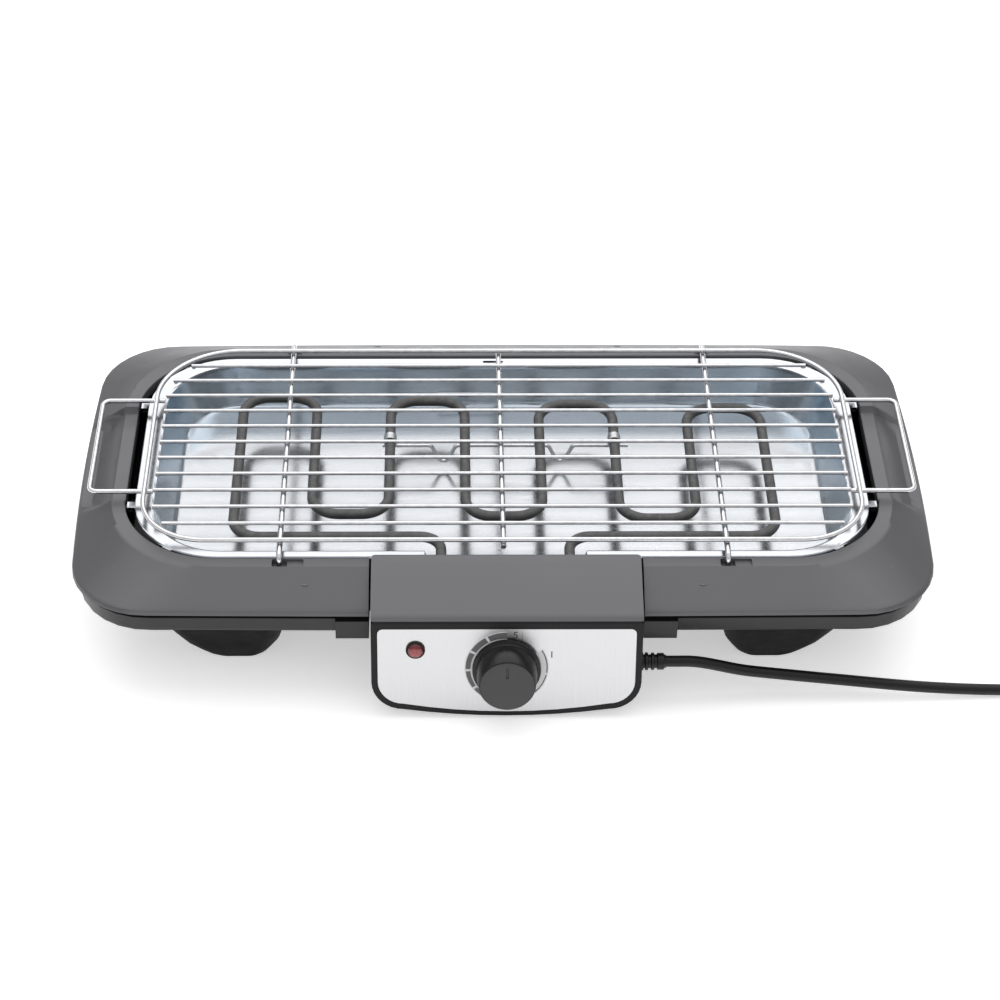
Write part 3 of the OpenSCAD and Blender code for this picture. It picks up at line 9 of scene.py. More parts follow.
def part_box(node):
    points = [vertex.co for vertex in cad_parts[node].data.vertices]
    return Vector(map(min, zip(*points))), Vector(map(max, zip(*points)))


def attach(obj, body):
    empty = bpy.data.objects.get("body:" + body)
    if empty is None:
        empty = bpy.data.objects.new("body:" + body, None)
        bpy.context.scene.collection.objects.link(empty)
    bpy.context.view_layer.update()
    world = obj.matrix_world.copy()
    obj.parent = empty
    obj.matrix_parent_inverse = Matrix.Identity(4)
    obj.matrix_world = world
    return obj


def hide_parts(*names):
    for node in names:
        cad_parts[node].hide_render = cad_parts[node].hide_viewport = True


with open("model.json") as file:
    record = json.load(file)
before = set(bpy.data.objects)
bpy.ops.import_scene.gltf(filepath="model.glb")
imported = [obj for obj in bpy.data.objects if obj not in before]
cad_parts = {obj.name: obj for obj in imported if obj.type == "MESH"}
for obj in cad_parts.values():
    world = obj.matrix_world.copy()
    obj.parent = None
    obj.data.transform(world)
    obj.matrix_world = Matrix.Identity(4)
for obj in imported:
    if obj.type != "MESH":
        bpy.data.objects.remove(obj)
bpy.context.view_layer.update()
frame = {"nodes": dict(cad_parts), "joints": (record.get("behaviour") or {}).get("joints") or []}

nodes = frame["nodes"]
MM = 0.001

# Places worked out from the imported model
ring_low, ring_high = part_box("grid_ring")
RING_D = ring_high.z - ring_low.z
RING_Z = (ring_low.z + ring_high.z) / 2
GRILL_Y = (ring_low.y + ring_high.y) / 2
LIP_BELOW_TUB_TOP = 15.2 * MM
# Height of the band of painted shade on the tub, below the rim's lip
SHADOW_GAP_H = 4.7 * MM
# Height of the band of painted shade on the control box's front, below its lid
LID_SHADE_H = 2.1 * MM
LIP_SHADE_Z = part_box("base_tub")[1].z - LIP_BELOW_TUB_TOP - SHADOW_GAP_H
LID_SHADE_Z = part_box("control_body")[1].z - LID_SHADE_H
joints = {j["name"]: j for j in frame["joints"]}
KNOB = Vector(joints["knob_turn"]["pos_m"])
OUT = Vector(joints["knob_turn"]["axis"])
ACROSS = Vector((1, 0, 0))
UP = OUT.cross(ACROSS)
LAMP_U = -54.3 * MM
LAMP_V = 12.7 * MM


def on_front(u, v, w):
    """A point on the control panel: u to the right and v up its slope from the knob's middle, w outwards."""
    return KNOB + ACROSS * u + UP * v + OUT * w


FRONT_TURN = Matrix((ACROSS, UP, OUT)).transposed()


# Camera, at the photograph's height and pitch, seen from the middle of the grid

CAMERA_PITCH = 38.0
CAMERA_TURN = 0.12
CAMERA_OFFSET = Vector((-34.7, -1379.2, 1030.4)) * MM
CAMERA_LENS = 98.5
CAMERA_SHIFT = 0.0498
camera_data = bpy.data.cameras.new("camera")
camera_data.lens = CAMERA_LENS
camera_data.sensor_width = 36.0
camera_data.shift_x = CAMERA_SHIFT
camera_data.clip_end = 30.0
camera = bpy.data.objects.new("camera", camera_data)
camera.location = Vector((0, GRILL_Y, RING_Z)) + CAMERA_OFFSET
camera.rotation_euler = (math.radians(90 - CAMERA_PITCH), 0, -math.radians(CAMERA_TURN))
bpy.context.scene.collection.objects.link(camera)
bpy.context.scene.camera = camera


# Tools for the pieces

MERGE_DISTANCE = 0.004 * MM
FLAT_ANGLE = 0.05
EDGE_STEPS = 2
BLOCK_STEPS = 3

def deselect():
    if bpy.context.object and bpy.context.object.mode != "OBJECT":
        bpy.ops.object.mode_set(mode="OBJECT")
    bpy.ops.object.select_all(action="DESELECT")


def only(obj):
    """Makes obj the active object and the only one selected."""
    deselect()
    obj.select_set(True)
    bpy.context.view_layer.objects.active = obj
    return obj


def named(obj, name):
    obj.name = name
    obj.data.name = name
    return obj


def settle(obj):
    """Puts a piece's place into its mesh, with the object itself at the origin."""
    only(obj)
    bpy.ops.object.transform_apply(location=True, rotation=True, scale=True)
    return obj


def modify(obj, kind, **values):
    """Adds a modifier and applies it."""
    only(obj)
    modifier = obj.modifiers.new(kind.lower(), kind)
    for key, value in values.items():
        setattr(modifier, key, value)
    bpy.ops.object.modifier_apply(modifier=modifier.name)
    return obj


def smooth(obj, angle=35.0):
    only(obj)
    bpy.ops.object.shade_smooth_by_angle(angle=math.radians(angle))
    return obj


def finish(obj, body, slot, *materials):
    """Gives a piece its materials and the body that it rides on. The slot argument is not used."""
    obj.data.materials.clear()
    for material in materials:
        obj.data.materials.append(material)
    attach(obj, body)
    return obj


def select_faces(obj, wanted):
    """Selects the faces for whose middle wanted(middle) holds, and stays in edit mode."""
    only(obj)
    bpy.ops.object.mode_set(mode="EDIT")
    bpy.ops.mesh.select_mode(type="FACE")
    bpy.ops.mesh.select_all(action="DESELECT")
    mesh = bmesh.from_edit_mesh(obj.data)
    for face in mesh.faces:
        face.select = bool(wanted(face.calc_center_median()))
    mesh.select_flush_mode()
    bmesh.update_edit_mesh(obj.data)


def join(pieces, name):
    deselect()
    for piece in pieces:
        piece.select_set(True)
    bpy.context.view_layer.objects.active = pieces[0]
    bpy.ops.object.join()
    return named(bpy.context.object, name)


def refined(node, name, bevel, angle):
    """A merged copy of a node with rounded edges, which stands for that node."""
    source = nodes[node]
    copy = bpy.data.objects.new(name, source.data.copy())
    copy.data.name = name
    bpy.context.scene.collection.objects.link(copy)
    only(copy)
    bpy.ops.object.mode_set(mode="EDIT")
    bpy.ops.mesh.select_all(action="SELECT")
    bpy.ops.mesh.remove_doubles(threshold=MERGE_DISTANCE)
    bpy.ops.mesh.dissolve_limited(angle_limit=math.radians(FLAT_ANGLE))
    bpy.ops.object.mode_set(mode="OBJECT")
    if bevel:
        modify(copy, "BEVEL", width=bevel, segments=EDGE_STEPS, limit_method="ANGLE",
               angle_limit=math.radians(angle), use_clamp_overlap=True, harden_normals=False)
    smooth(copy, angle)
    modify(copy, "WEIGHTED_NORMAL", keep_sharp=True)
    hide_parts(node)
    return copy


def islands(node):
    """The lowest and highest corners of each separate solid of a node, in millimetres, in a fixed order."""
    mesh = bmesh.new()
    mesh.from_mesh(nodes[node].data)
    bmesh.ops.remove_doubles(mesh, verts=mesh.verts, dist=MERGE_DISTANCE)
    left = set(mesh.verts)
    boxes = []
    while left:
        front = [left.pop()]
        group = list(front)
        while front:
            vertex = front.pop()
            near = {edge.other_vert(vertex) for edge in vertex.link_edges} & left
            left -= near
            group += near
            front += near
        places = [v.co / MM for v in group]
        boxes.append((Vector([min(c) for c in zip(*places)]), Vector([max(c) for c in zip(*places)])))
    mesh.free()
    return sorted(boxes, key=lambda box: tuple(box[0]))


def middles(node, axis):
    """The sorted middles of a node's solids along one axis."""
    return sorted((low[axis] + high[axis]) / 2 for low, high in islands(node))


def turned(name, profile, sides=96):
    """A turned piece, drawn up from a disc through (radius, height) pairs in millimetres."""
    deselect()
    radius, height = profile[0]
    bpy.ops.mesh.primitive_circle_add(vertices=sides, radius=radius * MM, fill_type="NGON",
                                      location=(0, 0, height * MM))
    obj = settle(named(bpy.context.object, name))
    bpy.ops.object.mode_set(mode="EDIT")
    bpy.ops.mesh.select_mode(type="FACE")
    bpy.ops.mesh.select_all(action="SELECT")
    for (r0, z0), (r1, z1) in zip(profile, profile[1:]):
        bpy.ops.mesh.extrude_region_move(TRANSFORM_OT_translate={"value": (0, 0, (z1 - z0) * MM)})
        bpy.ops.transform.resize(value=(r1 / r0, r1 / r0, 1), center_override=(0, 0, z1 * MM))
    bpy.ops.mesh.select_all(action="SELECT")
    bpy.ops.mesh.normals_make_consistent(inside=False)
    bpy.ops.object.mode_set(mode="OBJECT")
    return obj


def place(obj, at, turn=Matrix.Identity(3)):
    """Moves a finished piece to its place and writes that into its mesh."""
    obj.matrix_world = Matrix.Translation(at) @ turn.to_4x4()
    return settle(obj)


def cut(obj, cutter):
    """Cuts one piece out of another and removes the cutter."""
    modify(obj, "BOOLEAN", object=cutter, operation="DIFFERENCE", solver="EXACT")
    bpy.data.objects.remove(cutter)
    return obj


def rounded_block(name, size, middle, edge):
    """A block with all its edges rounded, sizes in millimetres."""
    deselect()
    bpy.ops.mesh.primitive_cube_add(size=MM, location=Vector(middle) * MM)
    obj = named(bpy.context.object, name)
    obj.scale = size
    settle(obj)
    bpy.ops.object.mode_set(mode="EDIT")
    bpy.ops.mesh.select_all(action="SELECT")
    bpy.ops.mesh.bevel(offset=edge * MM, segments=BLOCK_STEPS, affect="EDGES")
    bpy.ops.object.mode_set(mode="OBJECT")
    return obj


# Materials

class Finish:
    """One material's node tree, with short ways to add the usual nodes."""

    def __init__(self, name):
        self.material = bpy.data.materials.new(name)
        self.material.use_nodes = True
        self.tree = self.material.node_tree
        self.shader = self.tree.nodes["Principled BSDF"]
        self.coordinates = self.node("ShaderNodeTexCoord").outputs["Object"]

    def node(self, kind, **values):
        made = self.tree.nodes.new(kind)
        for key, value in values.items():
            setattr(made, key, value)
        return made

    def link(self, source, target):
        self.tree.links.new(source, target)

    def stretched(self, x, y, z):
        """Object coordinates scaled along each axis."""
        mapping = self.node("ShaderNodeMapping")
        mapping.inputs["Scale"].default_value = (x, y, z)
        self.link(self.coordinates, mapping.inputs["Vector"])
        return mapping.outputs["Vector"]

    def noise(self, scale, detail=3.0, roughness=0.55, vector=None):
        made = self.node("ShaderNodeTexNoise")
        made.inputs["Scale"].default_value = scale
        made.inputs["Detail"].default_value = detail
        made.inputs["Roughness"].default_value = roughness
        self.link(vector or self.coordinates, made.inputs["Vector"])
        return made.outputs["Fac"]

    def ramp(self, value, stops):
        made = self.node("ShaderNodeValToRGB")
        elements = made.color_ramp.elements
        while len(elements) < len(stops):
            elements.new(0.5)
        for element, (place, colour) in zip(elements, stops):
            element.position = place
            element.color = (*colour, 1.0)
        self.link(value, made.inputs["Fac"])
        return made.outputs["Color"]

    def range(self, value, low, high, from_low=0.3, from_high=0.7):
        made = self.node("ShaderNodeMapRange")
        made.inputs["From Min"].default_value = from_low
        made.inputs["From Max"].default_value = from_high
        made.inputs["To Min"].default_value = low
        made.inputs["To Max"].default_value = high
        self.link(value, made.inputs["Value"])
        return made.outputs["Result"]

    def bump(self, height, distance, strength=1.0, before=None):
        made = self.node("ShaderNodeBump")
        made.inputs["Distance"].default_value = distance
        made.inputs["Strength"].default_value = strength
        self.link(height, made.inputs["Height"])
        if before:
            self.link(before, made.inputs["Normal"])
        self.link(made.outputs["Normal"], self.shader.inputs["Normal"])
        return made.outputs["Normal"]

    def part(self, output, axis):
        """One part of the object coordinates or of the surface's own direction."""
        made = self.node("ShaderNodeSeparateXYZ")
        self.link(output, made.inputs[0])
        return made.outputs[axis]

    def facing(self, axis):
        return self.part(self.node("ShaderNodeNewGeometry").outputs["Normal"], axis)

    def mix(self, share, first, second):
        """Colours mixed by share. Sockets 6 and 7, and output 2, are the Mix node's colour ones."""
        made = self.node("ShaderNodeMix", data_type="RGBA")
        self.link(share, made.inputs[0])
        for socket, source in ((made.inputs[6], first), (made.inputs[7], second)):
            if isinstance(source, tuple):
                socket.default_value = (*source, 1.0)
            else:
                self.link(source, socket)
        return made.outputs[2]

    def set(self, **values):
        for key, value in values.items():
            self.shader.inputs[key.replace("_", " ")].default_value = value
        return self

    def colour(self, source):
        self.link(source, self.shader.inputs["Base Color"])

    def rough(self, source):
        self.link(source, self.shader.inputs["Roughness"])


def grey(level, tint=(1.0, 1.0, 1.0)):
    return tuple(level * t for t in tint)


def moulded_plastic(name, level, spread, rough_low, rough_high, grain=0.00002, tint=(1, 1, 1)):
    """Injection-moulded plastic with a fine spark-eroded grain and faint flow marks."""
    f = Finish(name)
    flow = f.noise(7.0, 4.0)
    f.colour(f.ramp(flow, [(0.3, grey(level * (1 - spread), tint)), (0.7, grey(level * (1 + spread), tint))]))
    f.rough(f.range(f.noise(55.0, 3.0), rough_low, rough_high))
    first = f.bump(f.noise(2600.0, 2.0), grain, 0.5)
    f.bump(f.noise(420.0, 2.0), grain * 1.5, 0.25, first)
    return f


def rim_grey():
    """Grey satin moulding with painted shade: darker on its side slopes, which face away from the light."""
    f = moulded_plastic("rim_grey", 0.124, 0.04, 0.36, 0.44, tint=(0.985, 0.985, 1.03))
    level = f.shader.inputs["Base Color"].links[0].from_socket
    # painted shade: faces turned sideways get a darker grey in place of the shade they would catch
    sideways = f.node("ShaderNodeMath", operation="ABSOLUTE")
    f.link(f.facing(0), sideways.inputs[0])
    f.colour(f.mix(f.range(sideways.outputs[0], 0.0, 1.0, 0.12, 0.30), level, (0.082, 0.082, 0.086)))
    return f.set(Specular_IOR_Level=0.5).material


def cover_grey():
    """The control box's lid: the same grey satin moulding as the rim, a little lighter and evenly coloured.
    """
    f = moulded_plastic("cover_grey", 0.136, 0.04, 0.36, 0.44, tint=(0.985, 0.985, 1.03))
    return f.set(Specular_IOR_Level=0.5).material


def tub_black():
    """Black tub with painted shade: near black and without gloss above a set height, in the shadow gap under
    the rim's lip.
    """
    f = moulded_plastic("tub_black", 0.022, 0.12, 0.34, 0.44)
    lit = f.shader.inputs["Base Color"].links[0].from_socket
    height = f.part(f.coordinates, 2)
    # painted shade: colour and gloss fall to near nothing above this height
    lip_shade_share = f.range(height, 0.0, 1.0, LIP_SHADE_Z - 0.4 * MM, LIP_SHADE_Z + 0.4 * MM)
    f.colour(f.mix(lip_shade_share, lit, (0.001, 0.001, 0.001)))
    f.link(f.range(height, 0.42, 0.02, LIP_SHADE_Z - 0.4 * MM, LIP_SHADE_Z + 0.4 * MM),
           f.shader.inputs["Specular IOR Level"])
    return f.material


def bezel_black():
    """The control box's front, with painted shade: near black above a set height, in the groove below its
    lid.
    """
    f = moulded_plastic("bezel_black", 0.010, 0.10, 0.26, 0.34, grain=0.00001)
    lit = f.shader.inputs["Base Color"].links[0].from_socket
    height = f.part(f.coordinates, 2)
    # painted shade: near black above this height
    f.colour(f.mix(f.range(height, 0.0, 1.0, LID_SHADE_Z - 0.4 * MM, LID_SHADE_Z + 0.4 * MM), lit,
                   (0.001, 0.001, 0.001)))
    return f.set(Specular_IOR_Level=0.22).material


def foot_black():
    f = moulded_plastic("foot_black", 0.004, 0.15, 0.5, 0.6)
    return f.set(Specular_IOR_Level=0.04).material


def rubber_black():
    f = moulded_plastic("rubber_black", 0.016, 0.2, 0.6, 0.75, grain=0.00003)
    return f.set(Specular_IOR_Level=0.3).material


def tray_tin():
    """Bright drawn sheet: near white on its flats, with a painted bluish reflection on its walls, and soft
    waves in its reflection.
    """
    f = Finish("tray_tin")
    cloud = f.noise(9.0, 2.0)
    flat = f.ramp(cloud, [(0.3, (0.545, 0.56, 0.58)), (0.7, (0.62, 0.635, 0.655))])
    wall_reflection = f.ramp(cloud, [(0.3, (0.60, 0.70, 0.78)), (0.7, (0.72, 0.80, 0.87))])
    # painted reflection: upright faces get a bluish colour in place of the surroundings they would mirror
    f.colour(f.mix(f.range(f.facing(2), 0.0, 1.0, 0.35, 0.85), wall_reflection, flat))
    f.rough(f.range(f.noise(45.0, 3.0, 0.6, f.stretched(1.0, 8.0, 8.0)), 0.17, 0.23))
    f.bump(f.noise(14.0, 1.5), 0.0006, 0.3)
    return f.set(Metallic=1.0).material


def wire_chrome():
    """Plated wire: bright, with painted shade on its underside and faint drawing marks."""
    f = Finish("wire_chrome")
    drawn = f.noise(240.0, 3.0)
    bright = f.ramp(drawn, [(0.3, (0.66, 0.66, 0.67)), (0.7, (0.80, 0.80, 0.81))])
    # painted shade: the colour falls to dark grey on faces turned downwards
    f.colour(f.mix(f.range(f.facing(2), 0.0, 1.0, -0.55, 0.1), (0.13, 0.13, 0.135), bright))
    f.rough(f.range(drawn, 0.16, 0.26))
    f.bump(f.noise(900.0, 2.0), 0.00002, 0.2)
    return f.set(Metallic=1.0).material


def element_sheath():
    """Oxidised tube: dull grey with fine mottling, and painted shade underneath."""
    f = Finish("element_sheath")
    mottle = f.noise(260.0, 5.0, 0.65)
    top = f.ramp(mottle, [(0.25, (0.080, 0.079, 0.078)), (0.55, (0.125, 0.124, 0.122)),
                          (0.8, (0.170, 0.168, 0.165))])
    # painted shade: the colour falls to near black on faces turned downwards
    f.colour(f.mix(f.range(f.facing(2), 0.0, 1.0, -0.3, 0.75), (0.020, 0.020, 0.020), top))
    f.rough(f.range(f.noise(90.0, 3.0), 0.45, 0.62))
    f.bump(f.noise(700.0, 3.0), 0.00004, 0.4)
    return f.set(Metallic=0.25).material


def panel_steel():
    """Stainless plate, brushed up its slope."""
    f = Finish("panel_steel")
    brushed = f.noise(30.0, 6.0, 0.7, f.stretched(60.0, 0.8, 0.8))
    f.colour(f.ramp(brushed, [(0.25, (0.585, 0.585, 0.59)), (0.75, (0.665, 0.665, 0.67))]))
    f.rough(f.range(brushed, 0.26, 0.42))
    f.bump(brushed, 0.00003, 0.3)
    return f.set(Metallic=1.0).material


def zinc():
    f = Finish("zinc")
    spangle = f.noise(300.0, 3.0)
    f.colour(f.ramp(spangle, [(0.3, (0.55, 0.56, 0.57)), (0.7, (0.72, 0.73, 0.74))]))
    f.rough(f.range(spangle, 0.28, 0.42))
    return f.set(Metallic=1.0).material


def lens_red():
    """Deep red lens with painted light in its middle, where the lamp stands behind it, and painted shade
    towards its edge.
    """
    f = Finish("lens_red")
    facets = f.noise(420.0, 2.0)
    red = f.ramp(facets, [(0.3, (0.34, 0.022, 0.024)), (0.7, (0.60, 0.100, 0.100))])
    # painted light and shade: bright red near the middle, falling to dark red a few millimetres out
    reach = f.node("ShaderNodeVectorMath", operation="DISTANCE")
    f.link(f.coordinates, reach.inputs[0])
    reach.inputs[1].default_value = on_front(LAMP_U, LAMP_V - 1.2 * MM, 1.5 * MM)
    f.colour(f.mix(f.range(reach.outputs["Value"], 0.0, 1.0, 1.5 * MM, 5.0 * MM), red, (0.11, 0.006, 0.008)))
    f.bump(facets, 0.0001, 0.25)
    return f.set(Roughness=0.12, Coat_Weight=0.6, Coat_Roughness=0.05).material


def knob_gloss():
    f = moulded_plastic("knob_gloss", 0.006, 0.1, 0.24, 0.30, grain=0.000004)
    return f.set(Specular_IOR_Level=0.35).material


def knob_face_grey():
    f = moulded_plastic("knob_face_grey", 0.045, 0.05, 0.38, 0.46, grain=0.00002)
    return f.material


def cord_black():
    """Extruded sheath with a faint lengthwise sheen."""
    f = moulded_plastic("cord_black", 0.005, 0.15, 0.32, 0.44, grain=0.00001)
    return f.set(Specular_IOR_Level=0.35).material


def printed_ink():
    f = moulded_plastic("printed_ink", 0.085, 0.05, 0.45, 0.55, grain=0.000004)
    return f.material


def bar_ink():
    f = moulded_plastic("bar_ink", 0.150, 0.08, 0.45, 0.55, grain=0.000004)
    return f.material


def pale_ink():
    f = moulded_plastic("pale_ink", 0.86, 0.03, 0.3, 0.4, grain=0.000004)
    return f.material


def weld_metal():
    """Spot weld: a little duller and darker than the wire."""
    f = Finish("weld_metal")
    heat = f.noise(500.0, 3.0)
    f.colour(f.ramp(heat, [(0.3, (0.30, 0.30, 0.31)), (0.7, (0.55, 0.55, 0.56))]))
    f.rough(f.range(heat, 0.28, 0.42))
    return f.set(Metallic=1.0).material


def pin_brass():
    f = Finish("pin_brass")
    tarnish = f.noise(220.0, 3.0)
    f.colour(f.ramp(tarnish, [(0.3, (0.62, 0.46, 0.18)), (0.7, (0.80, 0.64, 0.30))]))
    f.rough(f.range(tarnish, 0.2, 0.35))
    return f.set(Metallic=1.0).material


def ceramic_white():
    f = moulded_plastic("ceramic_white", 0.72, 0.04, 0.5, 0.65, tint=(1.0, 0.98, 0.93))
    return f.material


def wire_brown():
    f = moulded_plastic("wire_brown", 0.14, 0.2, 0.4, 0.5, tint=(1.0, 0.45, 0.2))
    return f.material


def neon_glass():
    f = Finish("neon_glass")
    f.colour(f.ramp(f.noise(300.0), [(0.3, (0.8, 0.35, 0.15)), (0.7, (0.9, 0.5, 0.25))]))
    return f.set(Roughness=0.1).material


FINISHES = {
    "rim": rim_grey(), "cover": cover_grey(), "tub": tub_black(), "bezel": bezel_black(),
    "foot": foot_black(), "rubber": rubber_black(), "tray": tray_tin(), "wire": wire_chrome(),
    "element": element_sheath(), "panel": panel_steel(), "zinc": zinc(), "lens": lens_red(),
    "knob": knob_gloss(), "knob_face": knob_face_grey(), "cord": cord_black(), "ink": printed_ink(),
    "bar_ink": bar_ink(), "pale_ink": pale_ink(), "weld": weld_metal(), "brass": pin_brass(),
    "ceramic": ceramic_white(), "brown": wire_brown(), "neon": neon_glass()}


# Free cord: the same given route as in the solid model, then the coil's turns, in millimetres

CORD_D = 7.0
COIL_R = 48.5
COIL_TURNS = 5.25
COIL_PITCH = 7.6
COIL_STEPS = 36
TAIL_L = 42.0
PLUG_Z = 8.5
relief_low, relief_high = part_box("strain_relief")
EXIT_X = relief_high.x / MM
EXIT_Y = (relief_low.y + relief_high.y) / 2 / MM
EXIT_Z = (relief_low.z + relief_high.z) / 2 / MM
COIL_X = 372.0
ROUTE = [
    (EXIT_X, 0.0, EXIT_Z), (EXIT_X + CORD_D, 0, EXIT_Z), (EXIT_X + 2 * CORD_D, 0, EXIT_Z),
    (119, 0.5, 30.8), (127, 1.1, 28.4), (134.5, 1.7, 25.9), (142, 2.2, 23.6), (149.5, 2.6, 21.9),
    (157, 2.9, 20.6), (165, 3.1, 19.4), (172, 3.2, 18.4), (187, 3.2, 16.5), (208, 3.2, 13.9),
    (230, 3.3, 11), (250, 3.7, 8.4), (270, 4.4, 6.2), (290, 5.1, 4.6), (310, 5.6, 3.8),
    (330, 5.9, 3.5), (350, 6, 3.5), (COIL_X - CORD_D, 6, 3.5)]


def eased(t):
    t = min(1.0, max(0.0, t))
    return t * t * (3 - 2 * t)


def coil_point(angle, middle_y):
    half = COIL_TURNS * 180
    turned = angle if angle < half else 2 * half - angle
    radius = COIL_R - COIL_PITCH * turned / 360
    height = CORD_D / 2 + COIL_PITCH * eased((angle - half + 90) / 180)
    a = math.radians(angle - 90)
    return (COIL_X + radius * math.cos(a), middle_y + radius * math.sin(a), height)


def cord_points():
    """The cord's centreline, from the strain relief to the plug."""
    lane = EXIT_Y
    middle_y = lane + ROUTE[-1][1] + COIL_R
    points = [(x, lane + y, z) for x, y, z in ROUTE]
    points.append((COIL_X, middle_y - COIL_R, CORD_D / 2))
    count = round(COIL_TURNS * COIL_STEPS)
    whole = COIL_TURNS * 360
    points += [coil_point(whole * i / count, middle_y) for i in range(1, count)]
    top = CORD_D / 2 + COIL_PITCH
    end_x = COIL_X + COIL_R
    points += [(end_x, middle_y, top), (end_x, middle_y + 7, top), (end_x, middle_y + 14, top),
               (end_x, middle_y + 22, top - 0.7), (end_x, middle_y + 29, top - 1.9),
               (end_x, middle_y + TAIL_L - CORD_D, PLUG_Z), (end_x, middle_y + TAIL_L, PLUG_Z)]
    return [Vector(p) * MM for p in points]


def rounded_line(points, steps):
    """Points on a smooth curve through the given ones."""
    made = []
    for i in range(len(points) - 1):
        before = points[max(i - 1, 0)]
        start, end = points[i], points[i + 1]
        after = points[min(i + 2, len(points) - 1)]
        for k in range(steps):
            t = k / steps
            made.append(0.5 * (2 * start + (end - before) * t
                               + (2 * before - 5 * start + 4 * end - after) * t * t
                               + (3 * start - before - 3 * end + after) * t ** 3))
    made.append(points[-1])
    return made


def make_cord():
    line = rounded_line(cord_points(), 2)
    curve = bpy.data.curves.new("mains_lead", "CURVE")
    curve.dimensions = "3D"
    curve.bevel_depth = CORD_D / 2 * MM
    curve.bevel_resolution = 4
    curve.use_fill_caps = True
    spline = curve.splines.new("POLY")
    spline.points.add(len(line) - 1)
    for point, place in zip(spline.points, line):
        point.co = (*place, 1.0)
    spline.use_smooth = True
    lead = bpy.data.objects.new("mains_lead", curve)
    bpy.context.scene.collection.objects.link(lead)
    finish(lead, "control_unit", "cord_rubber", FINISHES["cord"])
    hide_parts("power_cord", "cord_coil", "cord_tail")
    length = sum((b - a).length for a, b in zip(line, line[1:]))
    return lead, line[0], length


lead, lead_exit, lead_length = make_cord()


# Finishes of the nodes that keep their own meshes

NODE_FINISH = {
    "foot_screws": "zinc", "rim_screws": "zinc", "housing_screws": "zinc", "thermostat_screws": "zinc",
    "element_bracket": "zinc", "element_pins": "zinc", "thermostat_shaft": "zinc",
    "thermostat": "ceramic", "terminal_block": "ceramic", "inner_wires": "brown",
    "cord_clamp": "bezel", "sheath_end": "cord", "neon_lamp": "neon"}
for node_name, finish_name in NODE_FINISH.items():
    own = nodes[node_name]
    own.data.materials.clear()
    own.data.materials.append(FINISHES[finish_name])

# Refined copies: the node that each stands for, its body, slot and finish, the rounding of its edges in
# millimetres, and the angle up to which it is shaded smooth
REFINED = {
    "rim_moulding": ("rim_cover", "base", "grey_plastic", "rim", 0.5, 28),
    "tub_moulding": ("base_tub", "base", "black_plastic", "tub", 0.5, 28),
    "tray_pressing": ("drip_tray", "tray", "tray_steel", "tray", 0.0, 28),
    "cover_moulding": ("control_cover", "control_unit", "grey_plastic", "cover", 0.6, 28),
    "bezel_moulding": ("control_body", "control_unit", "black_plastic", "bezel", 0.5, 28),
    "panel_sheet": ("panel_plate", "control_unit", "panel_steel", "panel", 0.15, 28),
    "back_moulding": ("control_back", "control_unit", "black_plastic", "tub", 0.3, 28),
    "lamp_collar": ("lamp_ring", "control_unit", "knob_plastic", "bezel", 0.15, 35),
    "relief_moulding": ("strain_relief", "control_unit", "cord_rubber", "cord", 0.15, 40),
    "grid_frame": ("grid_ring", "grid", "grid_chrome", "wire", 0.0, 50),
    "grid_rods": ("grid_bars", "grid", "grid_chrome", "wire", 0.3, 50),
    "grid_stays": ("cross_wires", "grid", "grid_chrome", "wire", 0.3, 50),
    "left_handle": ("handle_left", "grid", "grid_chrome", "wire", 0.3, 50),
    "right_handle": ("handle_right", "grid", "grid_chrome", "wire", 0.3, 50),
    "element_tube": ("heating_element", "control_unit", "element_sheath", "element", 0.0, 50),
    "support_rod": ("element_support_wire", "control_unit", "grid_chrome", "wire", 0.0, 50),
    "tube_clips": ("support_clips", "control_unit", "screw_steel", "zinc", 0.1, 40),
    "front_left_foot": ("foot_front_left", "base", "black_plastic", "foot", 0.5, 28),
    "front_right_foot": ("foot_front_right", "base", "black_plastic", "foot", 0.5, 28),
    "rear_left_foot": ("foot_rear_left", "base", "black_plastic", "foot", 0.5, 28),
    "rear_right_foot": ("foot_rear_right", "base", "black_plastic", "foot", 0.5, 28),
    "foot_rubbers": ("foot_pads", "base", "rubber_pads", "rubber", 0.3, 35),
    "plug_moulding": ("plug_body", "control_unit", "cord_rubber", "cord", 0.8, 40),
    "plug_contacts": ("plug_pins", "control_unit", "pin_brass", "brass", 0.3, 40)}
for piece_name, (node_name, body, slot, finish_name, bevel, angle) in REFINED.items():
    piece = refined(node_name, piece_name, bevel * MM, angle)
    finish(piece, body, slot, FINISHES[finish_name])


# Knob: glossy skirt and side, grained face with a sunk pointer

KNOB_GAP = 1.0
KNOB_L = 20.0
FLANGE_R = 20.5
FACE_R = 16.75


